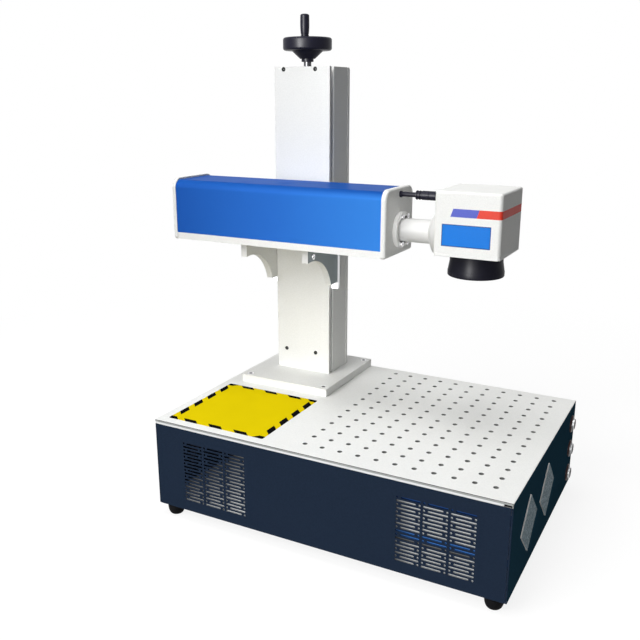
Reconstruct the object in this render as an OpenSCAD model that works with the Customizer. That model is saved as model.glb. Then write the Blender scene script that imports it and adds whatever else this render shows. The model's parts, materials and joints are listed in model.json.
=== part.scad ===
// Bench laser marking machine: a housing with a drilled table, a column with a
// hand-cranked lift, and an arm that carries the laser and its scanning head.
// Millimetres, +X to the right, +Y to the back, +Z up from the floor.

/* [Housing] */
// Width of the housing and of its table plate
table_w = 500; // [480:1:620]
// Depth of the housing and of its table plate
table_d = 346; // [336:1:460]
// Height of the housing under the table plate
housing_h = 121.5; // [118:0.5:170]
// Thickness of the table plate
table_t = 6; // [5:0.5:10]
// Thickness of the housing sheets
sheet_t = 2; // [1.5:0.1:3]
// Height of a rubber foot
foot_h = 17.5; // [14:0.5:30]
// Diameter of a rubber foot
foot_d = 24; // [20:1:27]

/* [Table grid] */
// Distance between two holes of the grid
grid_pitch = 25; // [24:0.5:25.5]
// Number of holes across
grid_across = 11; // [4:1:11]
// Number of holes from front to back
grid_deep = 13; // [4:1:13]
// Diameter of a grid hole
grid_hole_d = 6; // [4:0.5:8]
// Distance of the grid from the right side and from the front
grid_margin = 28.2; // [24:0.2:29.4]

/* [Vents] */
// Columns of slots in a front vent
vent_columns = 3; // [1:1:3]
// Rows of slots in a front vent
vent_rows = 18; // [4:2:18]
// Distance between two rows
vent_row_pitch = 4.95; // [4.2:0.05:5.1]
// Height of a slot
slot_h = 2.4; // [1.6:0.1:2.8]
// Length of a slot
slot_l = 25; // [18:0.5:26]
// Width of one column of slots
slot_column_w = 31; // [29:0.5:33]
// Distance between two columns
slot_column_pitch = 34; // [33.5:0.5:36]

/* [Column] */
// Width of the column
column_w = 91; // [88:1:106]
// Height of the column above its foot plate
column_h = 459; // [440:1:560]
// Thickness of the column's front cover
cover_t = 5.5; // [4.5:0.5:8]
// Width of the gap behind the front cover, where the carriage passes
slit = 8; // [7.5:0.5:10]
// Depth of the column's side profiles
profile_d = 43; // [42:1:54]
// Wall of the side profiles
profile_wall = 4; // [3:0.5:5]
// Width of the foot plate
foot_plate_w = 148; // [140:1:180]
// Depth of the foot plate
foot_plate_d = 160; // [150:1:176]
// Thickness of the foot plate
foot_plate_t = 11.5; // [8:0.5:16]

/* [Lift] */
// Diameter of the lead screw
screw_d = 14; // [12:0.5:16]
// Diameter of a guide rod
rod_d = 12; // [8:0.5:13]
// Distance between the guide rods
rod_span = 48; // [46:0.5:50]
// Running clearance of a bore on its shaft, on the radius
run_gap = 0.05; // [0.02:0.01:0.09]
// Diameter of the handwheel
wheel_d = 71; // [64:0.5:90]
// Height of the handwheel's rim
wheel_t = 15.3; // [12:0.1:20]
// Height of the turning grip
grip_h = 28; // [22:0.2:40]
// Diameter of the turning grip
grip_d = 13; // [11.5:0.5:16]

/* [Arm] */
// Length of the arm over its end caps
arm_l = 344; // [330:1:420]
// Depth of the arm
arm_d = 92; // [88:1:100]
// Height of the arm
arm_h = 86.5; // [84:0.5:110]
// Height of the arm's underside above the table
arm_rise = 225; // [215:1:260]
// Thickness of an end cap
cap_t = 7; // [5:0.5:10]
// Height of the arm's floor rail
rail_h = 9.5; // [8:0.5:12]
// Thickness of a bracket under the arm
bracket_t = 9.5; // [8:0.5:11]
// Diameter of the beam tube
tube_d = 31.5; // [26:0.5:34]
// Length of the beam tube between its flange and its collar
tube_l = 40.5; // [26:0.5:60]

/* [Scanning head] */
// Width of the head
head_w = 86; // [82:1:100]
// Depth of the head
head_d = 94; // [84:1:104]
// Height of the head
head_h = 81.7; // [78:0.1:100]
// Wall of the head's cover
head_wall = 3; // [2:0.5:4]
// Greatest diameter of the lens
lens_d = 73.5; // [71:0.5:78]
// Height of the lens below the head
lens_h = 31; // [28:0.5:40]

/* [Buttons] */
// Diameter of a button's ring
ring_d = 25; // [22:0.5:28]
// Diameter of a button's cap
button_d = 16; // [13:0.5:17]
// Travel of a button
button_travel = 2.5; // [1:0.5:3]
// Distance between two buttons
button_pitch = 38.6; // [32:0.2:40]

/* [Hidden] */

$fn = 96;
// Overrun of every cut past the face it opens
over = 1;
// Gap between pieces that slide past each other
slide_gap = 0.5;
// Gap around a screw in its hole, on the radius
screw_gap = 0.15;
// Gap between panels that lie edge to edge
panel_gap = 0.3;
// Steps of a rounded edge in a turned outline
arc_steps = 6;

// Screws, by their nominal size, and the shares of a socket in its head
screw_m3 = 3;
screw_m4 = 4;
screw_m5 = 5;
screw_m6 = 6;
socket_width_share = 0.6;
socket_depth_share = 0.5;

// Levels above the floor
floor_z = foot_h;
plate_z = foot_h + housing_h;
table_z = plate_z + table_t;
foot_plate_z = table_z + foot_plate_t;
column_top_z = foot_plate_z + column_h;
arm_z = table_z + arm_rise;

// Places of the column, from the housing's left side and the plate's front
column_inset = 96;
column_x = -table_w / 2 + column_inset;
foot_plate_back_margin = 0.8;
foot_plate_y = table_d / 2 - foot_plate_back_margin - foot_plate_d / 2;
column_set_back = 63;
cover_front_y = foot_plate_y - foot_plate_d / 2 + column_set_back;
slit_y = cover_front_y + cover_t;
profile_y = slit_y + slit;
profile_back_y = profile_y + profile_d;
back_groove = 3;
back_groove_inset = 1.5;
back_plate_t = 5.5;
column_back_y = profile_back_y + back_groove + back_plate_t;
// The screw drive and the cover's screws lie left of the column's middle
drive_shift = -4;
drive_x = column_x + drive_shift;

// Places of the arm
arm_gap = 10;
arm_back_y = cover_front_y - arm_gap;
arm_front_y = arm_back_y - arm_d;
arm_offset = 8.75;
arm_left_x = column_x + arm_offset - arm_l / 2;
arm_right_x = column_x + arm_offset + arm_l / 2;

// Housing: trim strip, posts and feet
strip_t = 2;
strip_h = 3;
strip_notch = 9;
post_w = 12;
foot_inset_x = 18;
foot_inset_y = 14.5;
foot_flat_d = 14;
foot_dome_share = 0.75;
foot_screw_head_d = 7;

// Label and diamond plates
label_w = 153;
label_t = 0.3;
label_left_margin = 13;
label_front_margin = 14;
label_back_gap = 19.7;
label_d = foot_plate_y - foot_plate_d / 2 - label_back_gap + table_d / 2 - label_front_margin;
diamond_side = 54;
diamond_t = 2;
diamond_front_margin = 80.3;
diamond_pitch = 95;
diamond_drop = 64;

// Vents, from the sides of the housing
vent_left_margin = 46.5;
vent_right_margin = 40;
vent_bottom = 14.8;
dot_d = 2.8;
lining_t = 1;
lining_gap = 1.2;
lining_margin = 4;
lining_rise = 25;
lining_top = 8;
vent_w = (vent_columns - 1) * slot_column_pitch + slot_column_w;
left_vent_x = -table_w / 2 + vent_left_margin;
right_vent_x = table_w / 2 - vent_right_margin - vent_w;
vent_z = floor_z + vent_bottom;

// Buttons, on the right side near the back
ring_t = 2.5;
ring_body_d = 19;
ring_body_l = 9;
button_out = 5;
button_skirt = 3;
button_step = 0.6;
button_stem_d = 9;
button_back_margin = 22;
button_drop = 28.5;

// Power inlet and switch, on the rear panel
inlet_w = 48;
inlet_h = 28;
inlet_t = 2.5;
inlet_depth = 24;
inlet_right_margin = 60;
inlet_rise = 38;
inlet_x = table_w / 2 - inlet_right_margin;
inlet_z = floor_z + inlet_rise;
socket_w = 20;
socket_h = 14;
socket_depth = 16;
socket_shift = -9;
socket_pin_d = 2;
socket_pin_l = 12;
rocker_w = 13;
rocker_h = 16.6;
rocker_opening_h = 20;
rocker_shift = 12.5;
rocker_t = 8;
rocker_root = 4;
rocker_pin_d = 3;
rocker_pin_out = 1.25;

// Fans
fan_size = 80;
fan_t = 25;
fan_bore_d = 76;
fan_hub_d = 30;
fan_blades = 7;
fan_blade_t = 1.6;
fan_blade_turn = 38;
fan_blade_gap = 2.5;
fan_web = 3;
fan_web_w = 6;
fan_axle_d = 5;
fan_boss_d = 12;
front_fan_x = left_vent_x + vent_w / 2;
front_fan_rise = 66;
rear_fan_x = -60;
rear_fan_rise = 61;
fan_turn_l = fan_t - 3 * fan_web - slide_gap;

// Boxes inside the housing
supply_w = 160;
supply_d = 98;
supply_h = 42;
supply_right_gap = 42;
supply_back_gap = 64;
supply_x = table_w / 2 - supply_right_gap - supply_w / 2;
supply_y = table_d / 2 - supply_back_gap - supply_d / 2;
supply_slot_w = 2;
supply_slots = 12;
board_w = 120;
board_d = 90;
board_t = 1.6;
board_front_gap = 58;
board_x = -40;
board_y = -table_d / 2 + board_front_gap + board_d / 2;
stand_off_h = 8;
stand_off_d = 6;
chip_w = 40;
chip_h = 3;
plug_w = 12;
plug_l = 45;
plug_h = 11;

// Column: screws, end blocks, drive
cover_screw_span = 52;
cover_screw_drop = 3.6;
cover_screw_rise = 31.2;
cover_head_d = 6;
cover_head_h = 1.3;
cover_head_sunk = 0.2;
flange_w = 12;
block_half_w = column_w / 2 - flange_w - slide_gap;
bottom_block_h = 38;
top_block_h = 16;
back_corner_r = 5;
drive_set_back = 19.6;
rod_set_back = 36;
drive_y = slit_y + drive_set_back;
rod_y = slit_y + rod_set_back;
bearing_d = 24;
bearing_t = 8;
journal_step = 3;
journal_d = screw_d - journal_step;
foot_screw_inset = 9.5;
foot_screw_head_w = 10;
foot_screw_head_h = 3.4;
foot_screw_sunk = 0.2;

// Handwheel, from the column's top upwards
neck_h = 11.4;
cone_h = 13.8;
cone_low_d = 23.4;
cone_high_d = 44;
wheel_edge_r = 3.2;
wheel_dish = 5;
wheel_dish_d = 46;
wheel_face = neck_h + cone_h + wheel_t;
grip_circle_r = 25;
grip_turn = -69.5;
grip_gap = 0.4;
grip_root_d = 11.4;
grip_root_h = 10;
grip_edge_r = 2.2;
grip_pin_d = 5;
grip_pin_cap_d = 8;
grip_pin_cap_h = 1.6;
grip_cap_room = 0.8;

// Carriage and brackets
slit_clear = 1;
carriage_t = slit - 2 * slit_clear;
carriage_h = 152;
carriage_drop = 77;
carriage_z = arm_z - carriage_drop;
carriage_front_y = slit_y + slit_clear;
carriage_back_y = carriage_front_y + carriage_t;
bracket_gap = 0.75;
bracket_x = column_w / 2 + bracket_gap;
bracket_mid_x = bracket_x + bracket_t / 2;
carriage_edge = 1.25;
carriage_w = 2 * (bracket_x + bracket_t + carriage_edge);
bracket_reach = 90.5;
bracket_drop = 66.5;
bracket_arc_r = 60;
bracket_arc_out = 78.7;
bracket_arc_down = 80.4;
rib_gap = 1;
bracket_rib = carriage_front_y - arm_back_y - rib_gap;
bracket_screw_inset = 18;
bracket_screw_l = 16;
bracket_screw_head_d = 6.4;
bracket_screw_head_h = 2;
arm_bolt_l = 13;
arm_bolt_head_d = 8;
arm_bolt_head_h = 2.5;
arm_bolt_front = 24;
arm_bolt_back = 18;
nose_screw_back = 11.8;
nose_screw_down = 13.4;
nose_screw_head_d = 8;
nose_screw_head_h = 3;
nose_screw_l = 4;
block_h = 70;
block_rise = 40;
block_z = carriage_z + block_rise;
block_back_gap = 4.5;
nut_d = 22;
nut_l = 32;

// Arm details
arm_sheet = 2;
arm_corner_r = 12;
cap_corner_r = 14;
cap_bottom_r = 4;
cap_proud = 0.8;
cap_top_proud = 2.5;
rail_floor_t = 4;
rail_lip = 3;
tube_set_back = 46;
tube_rise = 33;
tube_y = arm_front_y + tube_set_back;
tube_z = arm_z + tube_rise;
tube_flange_d = 49;
tube_flange_t = 6;
tube_bore_d = 22;
flange_screw_head_d = 6.4;
flange_screw_head_h = 3.2;
flange_screw_l = 12;
flange_span_y = 17;
flange_span_z = 36;
collar_d = 56;
collar_cone_l = 6.5;
collar_l = 11;
source_l = 236;
source_d = 70;
source_h = 56;
source_left_gap = 30;
expander_d = 34;
expander_bore_d = 12;

// Scanning head
head_x = arm_right_x + tube_flange_t + tube_l + collar_cone_l + collar_l;
head_set_back = 2;
head_front_y = arm_front_y + head_set_back;
head_rise = 236.2;
head_z = table_z + head_rise;
head_base_t = 4;
head_r = 4.5;
// The beam runs in front of the tube's middle, and the lens behind it
beam_shift = 3;
beam_y = tube_y - beam_shift;
mirror_gap = 10.2;
lens_set_in = 42;
lens_x = head_x + lens_set_in;
lens_y = beam_y + mirror_gap;
lens_neck_d = 69;
lens_neck_h = 12;
lens_flare_h = 11.5;
lens_edge = 1.6;
lens_bore_d = 50;
lens_mouth_d = 60;
lens_mouth_h = 6;
lens_inner_d = 38;
lens_thread_d = 46;
lens_disc_t = 5;
lens_dome = 2;
mirror_t = 2;
front_mirror_w = 10;
rear_mirror_w = 20;
mirror_h = 10;
mirror_shaft_d = 3;
galvo_d = 20;
galvo_hole_l = 14;
galvo_gap = 9;

// Cable between the arm and the head
cable_d = 6.4;
cable_set_back = 46;
cable_rise = 305.2;
cable_y = arm_front_y + cable_set_back;
cable_z = table_z + cable_rise;
gland_d = 8.6;
gland_nose_d = 8;
gland_l = 3;
connector_d = 12;
connector_neck_d = 9.6;
connector_l = 41.3;
connector_ring_l = 2.4;
connector_ring_pitch = 4;

// The model's origin lies under the centre of the whole, on the floor
origin_x = (arm_left_x + table_w / 2 + button_out) / 2;
origin_y = inlet_t / 2;

module on_frame() translate([-origin_x, -origin_y, 0]) children();

// Block between two corners
module block(low, high) translate(low) cube(high - low);

// Upright cylinder from its foot
module post(d, h) cylinder(d = d, h = h);

// Cylinders from a point towards the back and towards the right
module rod_back(d, l) rotate([-90, 0, 0]) cylinder(d = d, h = l);
module rod_right(d, l) rotate([0, 90, 0]) cylinder(d = d, h = l);

// Rectangle with round corners, centred
module round_rect(w, h, r) {
    square([w - 2 * r, h], center = true);
    square([w, h - 2 * r], center = true);
    for (x = [-1, 1], y = [-1, 1])
        translate([x * (w / 2 - r), y * (h / 2 - r)]) circle(r = r);
}

// Points of an arc, for turned outlines
function arc(centre, r, first, last) = [for (i = [0:arc_steps])
    let (a = first + i * (last - first) / arc_steps) centre + r * [cos(a), sin(a)]];

// Socket-head screw that stands on its seat and points down
module cap_screw(d, l, head_d, head_h) {
    difference() {
        post(head_d, head_h);
        translate([0, 0, head_h * (1 - socket_depth_share)])
            cylinder(d = head_d * socket_width_share, h = head_h, $fn = 6);
    }
    translate([0, 0, -l]) post(d, l + head_h * (1 - socket_depth_share) / 2);
}

// Places that holes and screws share
function foot_places() = [for (x = [-1, 1], y = [-1, 1])
    [x * (table_w / 2 - foot_inset_x), y * (table_d / 2 - foot_inset_y)]];
function foot_screw_places() = [for (x = [-1, 1], y = [-1, 1])
    [column_x + x * (foot_plate_w / 2 - foot_screw_inset),
     foot_plate_y + y * (foot_plate_d / 2 - foot_screw_inset)]];
function cover_screw_levels() = [foot_plate_z + cover_screw_rise, column_top_z - cover_screw_drop];
function cover_screw_places() = [for (x = [-1, 1], z = cover_screw_levels())
    [drive_x + x * cover_screw_span / 2, z]];
function rod_places() = [for (x = [-1, 1]) [column_x + x * rod_span / 2, rod_y]];
function button_z(i) = table_z - button_drop - i * button_pitch;
function bracket_screw_levels() = [bracket_screw_inset, carriage_h / 2, carriage_h - bracket_screw_inset];
function bracket_screw_places() = [for (x = [-1, 1], z = bracket_screw_levels())
    [column_x + x * bracket_mid_x, carriage_z + z]];
function arm_bolt_places() = [for (x = [-1, 1],
    y = [carriage_front_y - bracket_reach + arm_bolt_front, arm_back_y - arm_bolt_back])
    [column_x + x * bracket_mid_x, y]];
function flange_places() = [for (y = [-1, 1], z = [-1, 1]) [y * flange_span_y / 2, z * flange_span_z / 2]];

// Housing

module table_plate() color("whitesmoke") on_frame()
difference() {
    block([-table_w / 2, -table_d / 2, plate_z], [table_w / 2, table_d / 2, table_z]);
    for (i = [0:grid_across - 1], j = [0:grid_deep - 1])
        translate([table_w / 2 - grid_margin - i * grid_pitch,
                   -table_d / 2 + grid_margin + j * grid_pitch, plate_z - over])
            post(grid_hole_d, table_t + 2 * over);
    for (p = foot_screw_places())
        translate([p[0], p[1], plate_z - over]) post(screw_m6 + 2 * screw_gap, table_t + 2 * over);
    block([-table_w / 2 - over, -table_d / 2 - over, plate_z - over],
          [table_w / 2 - sheet_t, -table_d / 2 + strip_t, plate_z + strip_h]);
}

module edge_strip() color("white") on_frame()
block([-table_w / 2, -table_d / 2, plate_z],
      [table_w / 2 - sheet_t - strip_notch, -table_d / 2 + strip_t, plate_z + strip_h]);

// One vent: rows of a slot and a dot, which change ends from row to row
module vent_holes()
for (c = [0:vent_columns - 1], r = [0:vent_rows - 1])
    translate([c * slot_column_pitch, (r + 1 / 2) * vent_row_pitch]) {
        odd_row = r % 2;
        translate([odd_row * (slot_column_w - slot_l), 0]) {
            translate([slot_h / 2, -slot_h / 2]) square([slot_l - slot_h, slot_h]);
            for (x = [slot_h / 2, slot_l - slot_h / 2])
                translate([x, 0]) circle(d = slot_h, $fn = 24);
        }
        translate([odd_row == 1 ? dot_d / 2 : slot_column_w - dot_d / 2, 0]) circle(d = dot_d, $fn = 24);
    }

module front_panel() color("midnightblue") on_frame()
translate([0, -table_d / 2 + sheet_t, 0]) rotate([90, 0, 0]) linear_extrude(sheet_t) difference() {
    translate([-table_w / 2 + sheet_t + panel_gap, floor_z])
        square([table_w - 2 * (sheet_t + panel_gap), housing_h]);
    for (x = [left_vent_x, right_vent_x]) translate([x, vent_z]) vent_holes();
}

// Light sheets that stand behind the vents; the left one leaves a corner open to the fan
module vent_linings() color("gainsboro") on_frame()
translate([0, -table_d / 2 + sheet_t + lining_gap + lining_t, 0]) rotate([90, 0, 0])
linear_extrude(lining_t) {
    low = floor_z + sheet_t;
    high = vent_z + vent_rows * vent_row_pitch + lining_margin;
    translate([right_vent_x - lining_margin, low]) square([vent_w + 2 * lining_margin, high - low]);
    translate([left_vent_x, 0]) polygon([
        [-lining_margin, low], [vent_w + lining_margin, low], [vent_w + lining_margin, high],
        [vent_w - lining_top, high], [-lining_margin, vent_z + lining_rise]
    ]);
}

module side_sheet(x) block([x, -table_d / 2, floor_z], [x + sheet_t, table_d / 2, plate_z]);

module left_side_panel() color("midnightblue") on_frame() side_sheet(-table_w / 2);

module right_side_panel() color("midnightblue") on_frame()
difference() {
    side_sheet(table_w / 2 - sheet_t);
    for (i = [0:2]) at_button(i) translate([-sheet_t - over, 0, 0])
        rod_right(ring_body_d + 2 * screw_gap, sheet_t + 2 * over);
}

module rear_panel() color("midnightblue") on_frame()
difference() {
    block([-table_w / 2 + sheet_t + panel_gap, table_d / 2 - sheet_t, floor_z],
          [table_w / 2 - sheet_t - panel_gap, table_d / 2, plate_z]);
    translate([inlet_x, table_d / 2, inlet_z])
        block([-inlet_w / 2 + inlet_t, -sheet_t - over, -inlet_h / 2 + inlet_t],
              [inlet_w / 2 - inlet_t, over, inlet_h / 2 - inlet_t]);
    at_rear_fan() translate([0, fan_t - over, 0]) fan_slots(sheet_t + 2 * over);
}

// Straight air slots inside a fan's bore
module fan_slots(depth) {
    slot_pitch = 2 * slot_h;
    bore_r = fan_bore_d / 2 - slot_h;
    rows = floor(bore_r / slot_pitch);
    for (r = [-rows:rows]) {
        z = r * slot_pitch;
        half = sqrt(bore_r * bore_r - z * z);
        block([-half, 0, z - slot_h / 2], [half, depth, z + slot_h / 2]);
    }
}

module floor_pan() color("midnightblue") on_frame()
difference() {
    block([-table_w / 2 + sheet_t, -table_d / 2 + sheet_t, floor_z],
          [table_w / 2 - sheet_t, table_d / 2 - sheet_t, floor_z + sheet_t]);
    for (p = foot_places())
        translate([p[0], p[1], floor_z - over]) post(screw_m4 + 2 * screw_gap, sheet_t + 2 * over);
}

module corner_posts() color("silver") on_frame()
for (p = foot_places()) difference() {
    block([p[0] - post_w / 2, p[1] - post_w / 2, floor_z + sheet_t],
          [p[0] + post_w / 2, p[1] + post_w / 2, plate_z]);
    translate([p[0], p[1], floor_z]) post(screw_m4 + 2 * screw_gap, post_w);
}

// Feet: a short cylinder over a dome with a flat tread
module rubber_feet() color([0.05, 0.05, 0.05]) on_frame()
for (p = foot_places()) translate([p[0], p[1], 0]) difference() {
    dome_h = foot_h * foot_dome_share;
    dome_w = (foot_d - foot_flat_d) / 2;
    rotate_extrude() polygon(concat([[0, 0]],
        [for (q = arc([0, 0], 1, -90, 0)) [foot_flat_d / 2 + dome_w * q[0], dome_h * (1 + q[1])]],
        [[foot_d / 2, foot_h], [0, foot_h]]));
    translate([0, 0, -over]) post(foot_screw_head_d + 2 * screw_gap, foot_h / 2 + over);
    post(screw_m4 + 2 * screw_gap, foot_h + over);
}

module housing_screws() color("dimgray") on_frame()
for (p = foot_places()) translate([p[0], p[1], foot_h / 2]) mirror([0, 0, 1])
    cap_screw(screw_m4, foot_h / 2 + sheet_t + screw_m4, foot_screw_head_d, screw_m4);

module table_label() color("gold") on_frame()
translate([-table_w / 2 + label_left_margin, -table_d / 2 + label_front_margin, table_z])
    cube([label_w, label_d, label_t]);

module diamond_plates() color("slategray") on_frame()
for (i = [0, 1]) {
    y = -table_d / 2 + diamond_front_margin + i * diamond_pitch;
    translate([table_w / 2, y, table_z - diamond_drop]) rotate([45, 0, 0])
        block([0, -diamond_side / 2, -diamond_side / 2], [diamond_t, diamond_side / 2, diamond_side / 2]);
}

module at_button(i) translate([table_w / 2, table_d / 2 - button_back_margin, button_z(i)]) children();

module button_rings() color("silver") on_frame()
for (i = [0:2]) at_button(i) difference() {
    union() {
        rod_right(ring_d - ring_t, ring_t);
        rod_right(ring_d, ring_t / 2);
        translate([-ring_body_l, 0, 0]) rod_right(ring_body_d, ring_body_l);
    }
    translate([-button_skirt - button_travel - slide_gap, 0, 0])
        rod_right(button_d + 2 * run_gap, ring_body_l + ring_t);
    translate([-ring_body_l - over, 0, 0]) rod_right(button_stem_d + 2 * run_gap, ring_body_l);
}

module button(i) at_button(i) {
    translate([-button_skirt, 0, 0]) rod_right(button_d, button_skirt + button_out - button_step);
    translate([-button_skirt, 0, 0]) rod_right(button_d - 2 * button_step, button_skirt + button_out);
    translate([-ring_body_l, 0, 0]) rod_right(button_stem_d, ring_body_l);
}

module top_button() color("gainsboro") on_frame() button(0);
module middle_button() color("gainsboro") on_frame() button(1);
module bottom_button() color("gainsboro") on_frame() button(2);

// Inlet: a moulded frame with a three-pin socket and the opening of the switch
module power_inlet() color([0.08, 0.08, 0.08]) on_frame()
translate([inlet_x, table_d / 2, inlet_z]) {
    body_w = inlet_w - 2 * (inlet_t + panel_gap);
    body_h = inlet_h - 2 * (inlet_t + panel_gap);
    difference() {
        union() {
            block([-inlet_w / 2, 0, -inlet_h / 2], [inlet_w / 2, inlet_t, inlet_h / 2]);
            block([-body_w / 2, -inlet_depth, -body_h / 2], [body_w / 2, inlet_t, body_h / 2]);
        }
        translate([socket_shift, inlet_t - socket_depth, 0])
            block([-socket_w / 2, 0, -socket_h / 2], [socket_w / 2, socket_depth + over, socket_h / 2]);
        translate([rocker_shift, 0, 0])
            block([-rocker_w / 2 - slide_gap, -inlet_depth + inlet_t, -rocker_opening_h / 2],
                  [rocker_w / 2 + slide_gap, inlet_t + over, rocker_opening_h / 2]);
        at_rocker() translate([-rocker_w / 2 - rocker_pin_out - slide_gap, 0, 0])
            rod_right(rocker_pin_d + 2 * run_gap, rocker_w + 2 * (rocker_pin_out + slide_gap));
    }
    for (x = [-1, 0, 1]) translate([socket_shift + x * socket_w / 4, inlet_t - socket_depth - over, 0])
        rod_back(socket_pin_d, socket_pin_l + over);
}

module at_rocker() translate([rocker_shift, inlet_t - rocker_t, 0]) children();

module switch_rocker() color("firebrick") on_frame()
translate([inlet_x, table_d / 2, inlet_z]) at_rocker() {
    block([-rocker_w / 2, -rocker_root, -rocker_h / 2], [rocker_w / 2, rocker_t, rocker_h / 2]);
    translate([-rocker_w / 2 - rocker_pin_out, 0, 0]) rod_right(rocker_pin_d, rocker_w + 2 * rocker_pin_out);
}

// Fan frame whose axis runs to the back, from its front face
module fan_frame() {
    rotate([-90, 0, 0]) {
        linear_extrude(fan_t) difference() {
            square(fan_size, center = true);
            circle(d = fan_bore_d);
        }
        translate([0, 0, fan_t - fan_web]) linear_extrude(fan_web) difference() {
            union() {
                circle(d = fan_hub_d);
                for (a = [45, 135]) rotate(a) square([fan_bore_d + fan_web, fan_web_w], center = true);
            }
            circle(d = fan_axle_d + 2 * run_gap);
        }
        translate([0, 0, fan_t - 2 * fan_web]) linear_extrude(fan_web) difference() {
            circle(d = fan_boss_d);
            circle(d = fan_axle_d + 2 * run_gap);
        }
    }
}

module fan_rotor() {
    translate([0, fan_web, 0]) rod_back(fan_hub_d, fan_turn_l);
    translate([0, fan_web, 0]) rod_back(fan_axle_d, fan_t - fan_web);
    intersection() {
        translate([0, fan_web, 0]) rod_back(fan_bore_d - 2 * fan_blade_gap, fan_turn_l);
        for (i = [0:fan_blades - 1]) rotate([0, i * 360 / fan_blades, 0])
            translate([0, fan_web + fan_turn_l / 2, 0]) rotate([0, 0, fan_blade_turn])
                block([-fan_blade_t / 2, -fan_t, fan_hub_d / 2 - fan_blade_t],
                      [fan_blade_t / 2, fan_t, fan_bore_d / 2]);
    }
}

module at_front_fan()
translate([front_fan_x, -table_d / 2 + sheet_t + lining_gap + lining_t + panel_gap, floor_z + front_fan_rise])
children();

module at_rear_fan()
translate([rear_fan_x, table_d / 2 - sheet_t - fan_t, floor_z + rear_fan_rise]) children();

module fan_frames() color([0.06, 0.06, 0.07]) on_frame() {
    at_front_fan() fan_frame();
    at_rear_fan() fan_frame();
}

module front_fan_rotor() color([0.1, 0.1, 0.11]) on_frame() at_front_fan() fan_rotor();
module rear_fan_rotor() color([0.1, 0.1, 0.11]) on_frame() at_rear_fan() fan_rotor();

module power_supply() color("lightgray") on_frame()
translate([supply_x, supply_y, floor_z + sheet_t]) difference() {
    block([-supply_w / 2, -supply_d / 2, 0], [supply_w / 2, supply_d / 2, supply_h]);
    for (i = [1:supply_slots])
        translate([-supply_w / 2 + i * supply_w / (supply_slots + 1), -supply_d / 2, supply_h / 2])
            block([-supply_slot_w / 2, -over, -supply_h / 4],
                  [supply_slot_w / 2, supply_slot_w, supply_h / 4]);
}

module control_board() color("darkgreen") on_frame()
translate([board_x, board_y, floor_z + sheet_t]) {
    top_z = stand_off_h + board_t;
    block([-board_w / 2, -board_d / 2, stand_off_h], [board_w / 2, board_d / 2, top_z]);
    for (x = [-1, 1], y = [-1, 1])
        translate([x * (board_w / 2 - stand_off_d), y * (board_d / 2 - stand_off_d), 0])
            post(stand_off_d, stand_off_h);
    block([-chip_w / 2, -chip_w / 2, stand_off_h], [chip_w / 2, chip_w / 2, top_z + chip_h]);
    for (x = [-1, 1]) translate([x * (board_w - plug_w) / 2, 0, 0])
        block([-plug_w / 2, -plug_l / 2, stand_off_h], [plug_w / 2, plug_l / 2, top_z + plug_h]);
}

// Column

module column_foot_plate() color("whitesmoke") on_frame()
difference() {
    block([column_x - foot_plate_w / 2, foot_plate_y - foot_plate_d / 2, table_z],
          [column_x + foot_plate_w / 2, foot_plate_y + foot_plate_d / 2, foot_plate_z]);
    for (p = foot_screw_places()) translate([p[0], p[1], table_z - over]) {
        post(screw_m6 + 2 * screw_gap, foot_plate_t + 2 * over);
        translate([0, 0, over + foot_plate_t - foot_screw_head_h - foot_screw_sunk])
            post(foot_screw_head_w + 2 * screw_gap, foot_plate_t);
    }
}

module column_cover() color("white") on_frame()
difference() {
    block([column_x - column_w / 2, cover_front_y, foot_plate_z],
          [column_x + column_w / 2, slit_y, column_top_z]);
    for (p = cover_screw_places()) translate([p[0], cover_front_y - over, p[1]]) {
        rod_back(screw_m3 + 2 * screw_gap, cover_t + 2 * over);
        rod_back(cover_head_d + 2 * screw_gap, over + cover_head_h + cover_head_sunk);
    }
}

module column_screws() color("silver") on_frame() {
    foot_seat = foot_plate_t - foot_screw_head_h - foot_screw_sunk;
    for (p = foot_screw_places()) translate([p[0], p[1], table_z + foot_seat])
        cap_screw(screw_m6, foot_seat + table_t, foot_screw_head_w, foot_screw_head_h);
    cover_seat = cover_head_h + cover_head_sunk;
    for (p = cover_screw_places()) translate([p[0], cover_front_y + cover_seat, p[1]]) rotate([90, 0, 0])
        cap_screw(screw_m3, cover_t + slit - cover_seat, cover_head_d, cover_head_h);
}

// Profile on the right of the column's middle, seen from above
module profile_outline() {
    outer = column_w / 2;
    translate([outer - profile_wall, profile_y]) square([profile_wall, profile_d]);
    translate([outer - flange_w, profile_y]) square([flange_w, profile_wall]);
    translate([outer - flange_w, profile_back_y - profile_wall]) square([flange_w, profile_wall]);
}

module profile() translate([0, 0, foot_plate_z]) linear_extrude(column_h) profile_outline();

module column_right_profile() color("white") on_frame()
translate([column_x, 0, 0]) profile();

module column_left_profile() color("white") on_frame()
translate([column_x, 0, 0]) mirror([1, 0, 0]) profile();

// Back plate with a narrow spacer, its upper back edge rounded
module column_back_plate() color("white") on_frame()
translate([column_x, 0, 0]) rotate([90, 0, 90]) {
    spacer_w = column_w - 2 * back_groove_inset;
    translate([0, 0, -column_w / 2]) linear_extrude(column_w) back_plate_outline();
    translate([0, 0, -spacer_w / 2]) linear_extrude(spacer_w)
        translate([profile_back_y, foot_plate_z]) square([back_groove, column_h - back_corner_r]);
}

module back_plate_outline() {
    r = back_corner_r;
    translate([column_back_y - back_plate_t, foot_plate_z]) square([back_plate_t, column_h - r]);
    translate([column_back_y - back_plate_t, foot_plate_z]) square([back_plate_t - r, column_h]);
    translate([column_back_y - r, column_top_z - r]) intersection() {
        circle(r = r);
        square(r);
    }
}

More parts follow.
